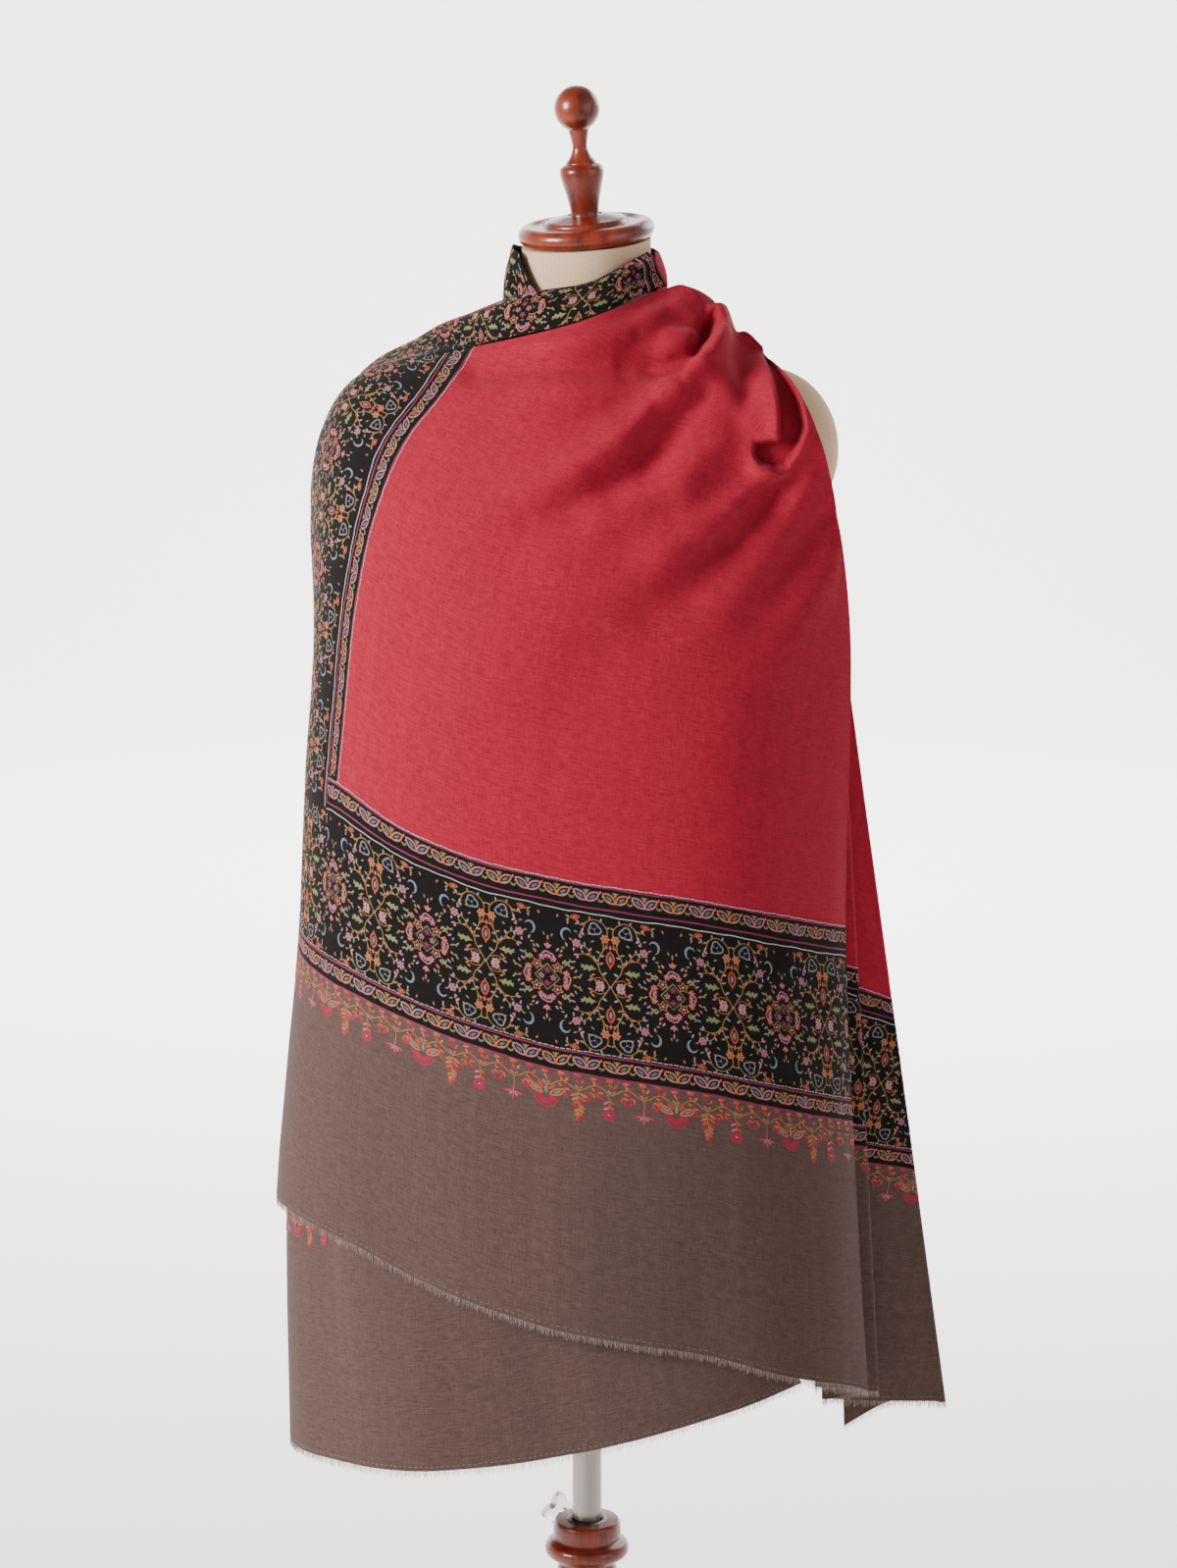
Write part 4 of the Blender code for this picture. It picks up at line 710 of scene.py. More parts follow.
def back_sheet(front):
    u = spaced(150, 0.0, 0.30, 0.6)
    coarse = draped(BACK_COLUMNS, BACK_FOLDS, count=24, dome_rows=9, hang_rows=12, out=0.0,
                    least=0.0085, hug=0.0100)
    p, angle, share = fine_layer(coarse, u, 9, 12, fine_dome=60, fine_hang=90, middle=192.0)
    rise = fold_height(BACK_CREASES, angle, p[..., 2]) * smooth(share * 4.0)
    rise = rise * smooth((1.0 - u)[:, None] / 0.10)
    p = settle(p + grid_normals(p) * rise[..., None], 0.0030)
    # its top meets the front's along the gathered shoulder
    across, toward = drape_place(p)
    crest_across, crest_toward = drape_place(front["p"][:, 0])
    near = smooth((across[:, :1] - 0.060) / 0.010) * smooth((toward[:, :1] - 0.020) / 0.015)
    near = near * (1.0 - smooth(share / 0.34))
    order = np.argsort(crest_across)
    rise = np.interp(across[:, 0], crest_across[order], front["p"][order, 0, 2]) - p[:, 0, 2]
    reach = np.interp(across[:, 0], crest_across[order], crest_toward[order]) - toward[:, 0]
    p = p + drape_point(0.0, reach, rise)[:, None] * near[..., None]
    p[:, 0] += drape_point(0.0, -SEAM_GAP, 0.0)
    # the threads fan out from the gathers, and the border slides under towards the armhole
    run, z = run_length(p, 0), p[..., 2]
    hem = np.broadcast_to(run[:, -1:], run.shape)
    edge = lerp(lerp(run, hem, 0.5), hem, smooth((1.2 - z) / 0.5))
    edge = edge + 0.152 * (1.0 - smooth((1.425 - z) / 0.36))
    return dict(p=p, u=edge, v=height_over_hem(p), edge=edge)


def fall_section(spread, wave):
    """Across and toward of the pleats in a level section."""
    def place(row):
        return lerp(row["top_across"], row["across"], spread), lerp(row["top_toward"], row["toward"], spread)

    radius = lerp(TOP_TURN_RADIUS, TURN_RADIUS, min(spread * 2.0, 1.0))
    points, marks = [place(FALL_START)], [0.0]
    steps = 10
    for n, row in enumerate(FALL_TURNS):
        across, toward = place(row)
        start = points[-1]
        finish = (across, toward + radius)
        for k in range(1, steps):
            t = k / steps
            bow = wave * math.sin(math.pi * t) * (1 if n % 2 else -1)
            points.append((lerp(start[0], finish[0], t), lerp(start[1], finish[1], t) + bow))
            marks.append(n + 0.8 * t)
        for k in range(9):
            a = math.radians(90 - 22.5 * k)
            points.append((across + row["side"] * radius * math.cos(a), toward + radius * math.sin(a)))
            marks.append(n + 0.8 + 0.2 * k / 8)
    end = place(FALL_END)
    start = points[-1]
    for k in range(1, steps + 1):
        t = k / steps
        points.append((lerp(start[0], end[0], t), lerp(start[1], end[1], t)))
        marks.append(len(FALL_TURNS) + t)
    return np.array(points), np.array(marks)


def fall_sheet(front):
    """The pleats at the drape's right, behind the front's edge."""
    rows = 130
    last_turn = len(FALL_TURNS)
    _, marks = fall_section(0.0, 0.0)
    hems = np.interp(marks, range(last_turn + 2),
                     [FALL_START["up"]] + [row["up"] for row in FALL_TURNS] + [FALL_END["up"]])
    inner = np.clip(marks - last_turn, 0.0, 1.0)
    hems = hems + 0.016 * np.sin(math.pi * inner) * (1.0 - 0.35 * inner)
    p = np.zeros((len(marks), rows + 1, 3))
    for j in range(rows + 1):
        last_up = None
        for i, up in enumerate(lerp(FALL_TOP, hems, j / rows)):
            spread = max(FALL_SPREAD_TOP - up, 0.0) / (FALL_SPREAD_TOP - FALL_SPREAD_LOW)
            if last_up is None or abs(up - last_up) > 1e-9:
                section, _ = fall_section(spread, 0.0022 * min(spread * 2, 1.0))
                last_up = up
            across, toward = section[i]
            narrow = lerp(0.45, 1.0, float(smooth((FALL_TOP - up) / 0.08)))
            first = lerp(FALL_START["top_toward"], FALL_START["toward"], spread)
            toward = first + (toward - first) * narrow
            toward += float(table_value(RIGHT_FOLD, "up", "toward", up)) - RIGHT_FOLD[-1]["toward"]
            across += float(table_value(RIGHT_FOLD, "up", "across", max(up, FALL_STRAIGHT))
                            - table_value(RIGHT_FOLD, "up", "across", FALL_STRAIGHT))
            p[i, j] = drape_point(across, toward, up)
    # its first columns lie behind the front's last one
    key, line = -front["p"][-1, :, 2], front["p"][-1]
    seat = interp_points(-p[0, :, 2], key, line)
    way = interp_points(-p[0, :, 2], key, grid_normals(front["p"])[-1])
    move = seat - way * (SEAT_WALLS * WALL + SEAM_GAP) - p[0]
    move[:, 2] = 0.0
    fade = 1.0 - np.arange(10) / 10
    p[:10] += move[None] * fade[:, None, None]
    run = run_length(p, 0)
    turn = int(np.argmin(np.abs(marks - (last_turn - 0.1))))
    edge = SIDE_FIELD + run[turn:turn + 1] - run
    return dict(p=p, u=FALL_START_U + run, v=height_over_hem(p), edge=edge)


def band_sheet(front):
    """The border rolled over the throat and the left shoulder."""
    columns, rows = 110, 30
    t = 1.0 - np.arange(columns + 1) / columns
    col = {name: table_value(BAND_COLUMNS, "u", name, t) for name in BAND_COLUMNS[0]}
    upper = drape_point(col["across"], col["toward"], col["up"])
    lower = interp_points(col["lower_u"], spaced(*FRONT_SPREAD), front["p"][:, 0])
    gap = upper - lower
    lower = lower + gap / np.linalg.norm(gap, axis=-1, keepdims=True) * 0.0016
    centre = np.stack([0 * t, 0 * t, upper[:, 2] - 0.10], axis=-1)
    rise = (upper + lower) / 2 - centre
    rise = rise / np.linalg.norm(rise, axis=-1, keepdims=True)
    s = (np.arange(rows + 1) / rows)[None, :]
    round_up = (np.sin(math.pi * s) + 0.25 * np.sin(2 * math.pi * s))[..., None]
    far_out = col["across"][:, None]
    high = col["high"][:, None] * (1.0 - 0.60 * smooth((-0.105 - far_out) / 0.030))
    p = lerp(upper[:, None], lower[:, None], s[..., None]) + rise[:, None] * high[..., None] * round_up
    roll = 0.0016 * np.sin(2.6 * math.pi * s + 5.0 * t[:, None]) * smooth(s * 4) * smooth((1 - s) * 4)
    p = p + grid_normals(p) * roll[..., None]
    least = np.where(far_out > -0.06, lerp(0.0050, 0.0150, smooth(s * 3)), 0.0150)
    least = lerp(least, 0.0120, smooth((-0.095 - far_out) / 0.025))
    p = settle(p, least)
    # over the shoulder its columns are evened out
    even = p.copy()
    for _ in range(40):
        even[1:-1] = 0.25 * even[:-2] + 0.5 * even[1:-1] + 0.25 * even[2:]
    share = smooth((-0.070 - far_out) / 0.03) * smooth((1.0 - s) / 0.15)
    p = settle(lerp(p, even, share[..., None]), least * 0.97)
    down = run_length(p, 1)
    along = np.broadcast_to(run_length(p, 0)[:, rows // 2:rows // 2 + 1], down.shape)
    # the red beyond the border ends just below the shoulder's outline as the camera sees it
    across, toward = drape_place(p)
    to_eye = drape_point(0.0 - across, CAMERA_AWAY - toward, CAMERA_UP - p[..., 2])
    ridge = ((grid_normals(p) * to_eye).sum(-1) > 0).argmax(axis=1)[:, None]
    outline = np.take_along_axis(p[..., 2], ridge, axis=1)
    seen = 0.0034 * np.clip((far_out + 0.130) / 0.050, 0.0, 1.0)
    below = (np.arange(rows + 1)[None, :] > ridge) & (p[..., 2] < outline - seen)
    strip = np.take_along_axis(down, below.argmax(axis=1)[:, None], axis=1)
    strip = strip * smooth((-0.058 - across[:, :1]) / 0.010) * smooth((across[:, :1] + 0.150) / 0.025)
    return dict(p=p, u=down, v=along, edge=SIDE_FIELD + strip - down, end=np.ones_like(down))


def collar_sheet(back, under):
    """The border standing round the neck, on the layers' top edges, its end slanting to nothing."""
    columns, rows = 110, 22
    tops = np.concatenate([back["p"][:, 0], under["p"][1:, 0]])
    across, toward = drape_place(tops)
    angle = np.degrees(np.arctan2(across, toward)) % 360.0
    near = across ** 2 + toward ** 2 < COLLAR_REACH ** 2
    order = np.argsort(angle[near])
    angles = np.linspace(COLLAR_TOP[0]["angle"], COLLAR_END, columns + 1)
    radius = table_value(COLLAR_TOP, "angle", "radius", angles)
    turn = np.radians(angles)
    ripple = 0.0016 * np.sin(turn * 3.0) + 0.0008 * np.sin(turn * 7.0)
    top = drape_point(radius * np.sin(turn), radius * np.cos(turn),
                      table_value(COLLAR_TOP, "angle", "up", angles) + ripple)
    low = interp_points(angles, angle[near][order], tops[near][order])
    low = low * np.array([0.98, 0.98, 1.0]) + np.array([0.0, 0.0, 0.0012])
    flare = 0.007 * np.exp(-((angles - 292.0) / 22.0) ** 2)
    low = low + drape_point(np.sin(turn), np.cos(turn), 0.0) * flare[:, None]
    slant = np.clip((COLLAR_END - angles) / 26.0, 0.0, 1.0)
    top = lerp(low, top, lerp(0.10, 1.0, slant)[:, None])
    s = (np.arange(rows + 1) / rows)[None, :]
    p = lerp(top[:, None], low[:, None], s[..., None])
    swell = 0.0018 + 0.0016 * np.sin(turn * 4.0 + 1.0) + 0.0008 * np.sin(turn * 9.0)
    out_turn = 0.0022 * np.exp(-((angles - 290.0) / 16.0) ** 2)
    rise = swell[:, None] * np.sin(math.pi * s) + out_turn[:, None] * (1 - s)
    p = p + grid_normals(p) * rise[..., None]
    down = run_length(p, 1)
    along = np.broadcast_to(run_length(p, 0)[:, rows // 2:rows // 2 + 1], down.shape)
    edge = SIDE_FIELD + 0.034 - along - COLLAR_SLANT * down
    return dict(p=p, u=down, v=along, edge=edge, end=np.ones_like(down))


def make_mesh(name, points, faces, materials):
    mesh = bpy.data.meshes.new(name)
    mesh.from_pydata([tuple(q) for q in points], [], [tuple(f) for f in faces])
    for material in materials:
        mesh.materials.append(material)
    obj = bpy.data.objects.new(name, mesh)
    bpy.context.scene.collection.objects.link(obj)
    mesh.shade_smooth()
    return obj


def shell(sheet, name, material, level_top):
    """A thin closed shell on a sheet's points, with its fabric coordinates for the weave."""
    p, normals = sheet["p"], sheet["normals"].copy()
    n, m = p.shape[:2]
    if level_top:
        normals[:, 0] = (0, 0, 1)
    points = np.concatenate([p.reshape(-1, 3), (p - normals * WALL).reshape(-1, 3)])
    index = np.arange(n * m).reshape(n, m)
    a, b, c, d = (q.reshape(-1) for q in (index[:-1, :-1], index[:-1, 1:], index[1:, 1:], index[1:, :-1]))
    faces = [np.stack([a, b, c, d], axis=-1), np.stack([a, d, c, b], axis=-1) + n * m]
    for near, far in ((index[0, 1:], index[0, :-1]), (index[-1, :-1], index[-1, 1:]),
                      (index[:-1, 0], index[1:, 0]), (index[1:, -1], index[:-1, -1])):
        faces.append(np.stack([near, far, far + n * m, near + n * m], axis=-1))
    obj = make_mesh(name, points, np.concatenate(faces), [material])
    mesh = obj.data
    mesh.set_sharp_from_angle(angle=math.radians(60))
    corner = np.empty(len(mesh.loops), np.int32)
    mesh.loops.foreach_get("vertex_index", corner)
    flat_uv = np.stack([sheet["u"].reshape(-1), sheet["v"].reshape(-1)], axis=-1)
    uv = np.concatenate([flat_uv, flat_uv]).astype(np.float32)
    mesh.uv_layers.new(name="UVMap")
    mesh.uv_layers["UVMap"].data.foreach_set("uv", uv[corner].reshape(-1))
    for label, values in (("edge", sheet["edge"]), ("end", sheet.get("end", sheet["v"]))):
        layer = mesh.attributes.new(label, "FLOAT", "POINT")
        flat = np.asarray(values, np.float32).reshape(-1)
        layer.data.foreach_set("value", np.concatenate([flat, flat]))
    return obj


# Embroidery: strokes in millimetres on a plane, laid on a sheet by its fabric coordinates
THREADS = {
    "pink": (0.30, 0.095, 0.128), "rose": (0.32, 0.150, 0.168), "magenta": (0.165, 0.011, 0.053),
    "orange": (0.34, 0.095, 0.034), "scarlet": (0.32, 0.043, 0.018), "ochre": (0.215, 0.104, 0.031),
    "sage": (0.145, 0.158, 0.064), "leaf": (0.105, 0.126, 0.045), "teal": (0.052, 0.098, 0.112),
    "sky": (0.115, 0.150, 0.172), "mist": (0.185, 0.198, 0.205), "white": (0.40, 0.37, 0.35),
    "crimson": (0.235, 0.011, 0.034), "plum": (0.10, 0.017, 0.055), "stitch": (0.17, 0.125, 0.110),
}
THREAD_ORDER = list(THREADS)


def polar(x, y, radius, degrees):
    """A place at a distance and a bearing from another."""
    a = math.radians(degrees)
    return x + radius * math.cos(a), y + radius * math.sin(a)


def mirrored(degrees, sx, sy):
    """A bearing in the first quarter, turned to the quarter with these signs."""
    return degrees * sy if sx > 0 else 180 - degrees * sy


class Stitches:
    """Rows of strokes: a middle line, half widths, a thread and a share of the usual height."""

    def __init__(self):
        self.rows = []

    def line(self, points, width, thread, lift=1.0):
        pts = np.asarray(points, float)
        self.rows.append((pts, np.full(len(pts), width / 2.0), thread, lift))

    def curve(self, points, width, thread, steps=4):
        """A soft line through the points."""
        q = np.asarray(points, float)
        at = np.arange((len(q) - 1) * steps + 1) / steps
        self.line(along_curve(q, at), width, thread)

    def leaf(self, x, y, angle, length, width, thread, lift=1.0):
        """A filled leaf or petal from its foot, pointing at an angle in degrees."""
        shares, halves = (0.0, 0.30, 0.68, 1.0), (0.16, 0.90, 0.86, 0.10)
        pts = [polar(x, y, length * s, angle) for s in shares]
        self.rows.append((np.array(pts), np.array(halves) * width / 2, thread, lift))

    def leaves(self, rows, sx=1, sy=1):
        """Leaves from rows of place, angle, length, width and thread, in one quarter."""
        for x, y, angle, length, width, thread in rows:
            self.leaf(x * sx, y * sy, mirrored(angle, sx, sy), length, width, thread)

    def almond(self, x, y, angle, length, width, outline, core, core_width):
        """An outlined almond round a middle stroke."""
        a = math.radians(angle)
        d, s = np.array([math.cos(a), math.sin(a)]), np.array([-math.sin(a), math.cos(a)])
        mid = np.array([x, y])
        ring = []
        for sign, steps in ((1, range(9)), (-1, range(7, 0, -1)), (1, (0,))):
            for k in steps:
                bulge = sign * width * 0.5 * math.sin(math.pi * k / 8) ** 0.8
                ring.append(mid + d * length * (k / 8 - 0.5) + s * bulge)
        self.line(ring, min(width * 0.30, 1.45), outline)
        foot = mid - d * length * 0.26
        self.leaf(foot[0], foot[1], angle, length * 0.52, width * core_width, core, 0.8)

    def heart(self, x, y, length, width, thread, lift):
        """A short level stitch, its middle near x."""
        self.leaf(x - length / 2, y, 0, length, width, thread, lift)

    def rosette(self, x, y, r, petals, heart, count=6, turn=0.0):
        for k in range(count):
            a = turn + 360.0 * k / count
            self.leaf(*polar(x, y, r * 0.30, a), a, r * 0.78, r * 0.74, petals)
        self.heart(x, y, r * 0.52, r * 0.50, heart, 1.5)

    def scallop(self, x, y, angle, r, outer, inner, heart):
        """A half-round fan with a scalloped rim, opening toward an angle."""
        pts = []
        for k in range(25):
            sweep = 200 * k / 24
            wave = 1.0 + 0.16 * abs(math.sin(math.radians(sweep) * 2.25))
            pts.append(polar(x, y, r * wave, angle - 100 + sweep))
        self.line(pts, 1.15, outer)
        for k in range(5):
            a = angle - 72 + 36 * k
            self.leaf(*polar(x, y, r * 0.22, a), a, r * 0.62, r * 0.30, inner if k % 2 else outer)
        self.heart(x, y, 1.8, 1.5, heart, 1.5)

    def star(self, x, y, r, outline, heart, turn):
        self.line([polar(x, y, r * (0.52 if k % 2 else 1.0), turn + 36.0 * k) for k in range(11)],
                  1.0, outline)
        self.heart(x, y, r * 0.6, r * 0.55, heart, 1.3)

    def hook(self, x, y, size, thread):
        pts = []
        for k in range(8):
            a = math.radians(150 - 225 * k / 7)
            pts.append((x + size * 0.5 * math.cos(a), y + size * 0.62 * math.sin(a)))
        half = np.array([0.25, 0.6, 0.85, 0.95, 0.95, 0.8, 0.55, 0.2])
        self.rows.append((np.array(pts), half, thread, 1.0))

    def notched(self, x, y, size, thread):
        """A leaf with notches along its sides."""
        self.leaf(x, y, 0, size, size * 0.26, thread)
        for t, a in ((0.18, 52), (0.46, 46), (0.74, 40), (0.30, -52), (0.60, -46)):
            self.leaf(x + size * t, y, a, size * 0.30, size * 0.15, thread)

    def round_flower(self, x, y, r, outline, heart, lean):
        """A rounded triangle flower with dots inside."""
        pts = []
        for k in range(17):
            a = 360 * k / 16
            pts.append(polar(x, y, r * (1.0 + 0.16 * math.cos(3 * math.radians(a))), 90 + lean + a))
        self.line(pts, 1.2, outline)
        self.leaf(x - 0.9, y, 0, 1.9, 1.7, heart, 1.4)
        for k in range(3):
            cx, cy = polar(x, y, r * 0.5, 30 + lean + 120 * k)
            self.heart(cx, cy, 1.2, 1.1, "teal" if k else "pink", 1.2)

    def add(self, other, dx=0.0, dy=0.0, sx=1.0, sy=1.0):
        """The strokes of another set, mirrored and moved."""
        for pts, half, thread, lift in other.rows:
            self.rows.append((pts * np.array([sx, sy]) + np.array([dx, dy]), half, thread, lift))


QUARTERS = ((1, 1), (1, -1), (-1, 1), (-1, -1))

# Leaves of one quarter: place, angle, length, width, thread
MEDALLION_LEAVES = (
    (17.4, 9.6, 38, 4.0, 1.9, "pink"), (12.8, 6.0, 25, 3.4, 1.7, "orange"), (21.0, 7.2, 60, 3.2, 1.5, "sky"),
    (19.8, 2.6, 30, 3.4, 1.7, "orange"), (22.8, 4.6, -20, 3.0, 1.5, "sage"),
    (9.8, 21.6, 60, 3.2, 1.6, "sage"), (6.8, 49.6, 70, 3.0, 1.5, "orange"),
)
TREE_STEMS = (
    ((0.6, 0.5), (4.2, 6.5), (8.4, 13.0), (9.0, 21.0), (5.6, 28.5), (2.2, 34.5)),
    ((8.7, 16.0), (13.6, 22.0), (18.0, 29.0), (24.0, 31.0)),
    ((5.6, 28.5), (4.6, 36.0), (2.0, 44.0), (5.4, 50.2), (12.0, 53.0), (18.0, 50.4), (20.8, 44.6)),
    ((18.0, 50.4), (22.6, 47.0), (25.4, 49.0), (28.6, 52.2)),
    ((13.6, 22.0), (19.0, 24.0), (24.6, 22.6)),
    ((3.2, 4.6), (9.0, 6.6), (14.0, 4.4)),
)
STEM_WIDTHS = (0.8, 0.75, 0.75, 0.7, 0.6, 0.6)
TREE_LEAVES = (
    (6.0, 9.6, 150, 4.0, 1.9, "mist"), (8.6, 17.6, 160, 3.8, 1.8, "sage"), (9.2, 19.6, 30, 3.8, 1.8, "pink"),
    (8.0, 24.4, 175, 3.6, 1.7, "mist"), (7.4, 26.4, 20, 3.8, 1.8, "sage"),
    (4.4, 31.0, 160, 3.2, 1.6, "orange"), (12.6, 20.4, 95, 3.8, 1.8, "sage"),
    (15.4, 24.8, -20, 4.0, 1.8, "orange"), (16.2, 26.6, 120, 3.6, 1.8, "mist"),
    (19.6, 30.0, 85, 3.8, 1.8, "sage"), (21.6, 30.6, -70, 3.6, 1.7, "mist"),
    (20.6, 24.2, 60, 3.2, 1.5, "sage"), (24.4, 22.6, -10, 3.8, 2.0, "pink"),
    (24.2, 22.0, -60, 3.2, 1.6, "rose"), (13.6, 4.4, -20, 3.8, 1.8, "pink"),
    (13.2, 5.0, 40, 3.4, 1.6, "sage"), (4.6, 33.8, 60, 3.2, 1.5, "sage"), (3.0, 47.0, 160, 3.2, 1.5, "sage"),
    (7.6, 51.8, 110, 3.2, 1.5, "mist"), (15.2, 52.2, 70, 3.2, 1.6, "orange"),
    (19.6, 47.6, 10, 3.4, 1.6, "sage"), (20.8, 44.6, -70, 3.6, 1.8, "rose"),
    (24.0, 48.0, 60, 3.0, 1.5, "mist"), (24.6, 48.6, -40, 3.2, 1.5, "pink"),
    (31.4, 51.4, 30, 3.6, 1.7, "sage"), (31.6, 50.8, -45, 3.2, 1.5, "sage"),
    (27.6, 28.0, -80, 3.4, 1.5, "mist"), (29.0, 33.6, 20, 3.0, 1.5, "sage"),
    (19.8, 39.0, 40, 4.2, 2.0, "rose"), (21.4, 38.0, -30, 3.2, 1.5, "sky"),
    (17.4, 40.6, 160, 3.0, 1.5, "orange"), (33.0, 27.4, 70, 3.6, 1.6, "rose"),
    (34.4, 26.0, 0, 3.0, 1.4, "sage"), (26.4, 16.6, -20, 4.0, 1.7, "sky"),
    (29.6, 15.2, 50, 3.0, 1.4, "ochre"), (33.0, 45.6, 100, 3.4, 1.5, "pink"),
    (11.6, 9.2, -30, 3.6, 1.7, "orange"), (21.4, 7.0, -50, 3.2, 1.5, "sage"),
    (14.8, 34.4, 150, 3.0, 1.5, "sage"), (23.4, 36.8, 90, 3.4, 1.6, "pink"),
    (25.2, 40.4, 20, 3.2, 1.5, "sage"), (10.2, 2.4, 60, 3.0, 1.5, "orange"),
)


def medallion():
    m = Stitches()
    for k in range(4):
        a = math.radians(90 * k)
        m.rosette(4.6 * math.cos(a), 5.0 * math.sin(a), 2.3, "magenta" if k % 2 else "pink", "ochre", 5, 20)
    for wide, tall, width, thread in ((9.4, 10.6, 1.0, "leaf"), (7.0, 7.9, 0.55, "plum")):
        m.line([(0, tall), (wide, 0), (0, -tall), (-wide, 0), (0, tall)], width, thread)
    for sx, sy in QUARTERS:
        m.star(8.0 * sx, 8.8 * sy, 4.3, "orange", "mist", 20 * sx * sy)
        m.rosette(4.4 * sx, 15.2 * sy, 2.5, "pink", "mist", 5, 15)
        m.rosette(14.8 * sx, 5.0 * sy, 2.4, "orange", "mist", 5, 15)
        for x, y, lean, length, width, thread in (
                (8.2, 17.8, 52, 4.2, 2.0, "orange"), (11.5, 12.6, 30, 3.0, 1.6, "rose"),
                (6.6, 22.0, 38, 3.6, 1.7, "rose")):
            m.leaf(x * sx, y * sy, 90 * sy - lean * sx * sy, length, width, thread)
        for turn in range(45, 405, 90):
            m.leaf(15.2 * sx, 13.6 * sy, turn, 3.4, 1.7, "sage")
        m.leaves(MEDALLION_LEAVES, sx, sy)
    for angle, x, y in ((90, 0, 15.0), (270, 0, -15.0), (0, 12.6, 0), (180, -12.6, 0)):
        m.scallop(x, y, angle, 4.7, "pink", "rose", "crimson")
    for s in (1, -1):
        for x, y, lean, length, width, thread in (
                (0, 22.6, 0, 5.4, 2.6, "orange"), (0, 23.2, -40, 4.4, 1.9, "pink"),
                (0, 23.2, 40, 4.4, 1.9, "pink"), (0, 29.5, 0, 4.6, 1.5, "pink"),
                (-2.6, 33.0, 20, 3.0, 1.4, "sage"), (2.6, 33.0, -20, 3.0, 1.4, "sage")):
            m.leaf(x, y * s, 90 * s + lean, length, width, thread)
    return m


def tree():
    """Stems that branch from a middle flower, the same in each quarter."""
    q = Stitches()
    for points, width in zip(TREE_STEMS, STEM_WIDTHS):
        q.curve(points, width, "ochre")
    for x, y, r, petals, heart, turn in ((7.8, 1.2, 3.3, "rose", "ochre", 10),
                                         (4.0, 38.6, 3.5, "orange", "rose", 0),
                                         (25.8, 31.6, 3.4, "pink", "rose", 15)):
        q.rosette(x, y, r, petals, heart, 6, turn)
    q.round_flower(12.0, 45.2, 4.6, "sky", "pink", -14)
    q.notched(10.8, 13.2, 12.0, "sage")
    q.hook(33.6, 37.0, 8.0, "sky")
    q.almond(27.2, 52.6, -12, 7.4, 3.0, "scarlet", "orange", 0.5)
    q.leaves(TREE_LEAVES)
    t = Stitches()
    for sx, sy in QUARTERS:
        t.add(q, 0, 0, sx, sy)
    for s in (1, -1):
        t.almond(0, 22.6 * s, 90, 12.0, 5.6, "scarlet", "sky", 0.44)
        t.leaf(0, 14.6 * s, 90 * s, 2.4, 1.3, "ochre")
        t.leaf(0, 30.0 * s, 90 * s, 4.0, 1.8, "pink")
    t.heart(0, 0, 2.8, 2.2, "sky", 1.4)
    return t


def guard_pair(colour):
    """Two almonds that lean apart, with the small leaves between them and the next pair."""
    g = Stitches()
    accent, small = ("orange", "orange") if colour == "pink" else ("rose", "sage")
    for s in (1, -1):
        g.almond(4.9 * s, 0.6, 90 - 54 * s, 11.8, 6.0, colour, "teal", 0.42)
        g.leaf(1.6 * s, -3.6, 90 - 68 * s, 7.4, 1.5, accent)
        g.leaf(11.35 * s, -3.4, 90 - 40 * s, 3.4, 1.9, "leaf")
    g.leaves(((0, 1.8, 90, 4.4, 2.2, "sage"), (-0.9, 4.2, 130, 2.2, 1.2, "ochre"),
              (0.9, 4.2, 50, 2.2, 1.2, "ochre"), (10.4, 3.2, 70, 3.0, 1.8, small),
              (12.2, 1.2, 20, 2.4, 1.5, "rose")))
    return g


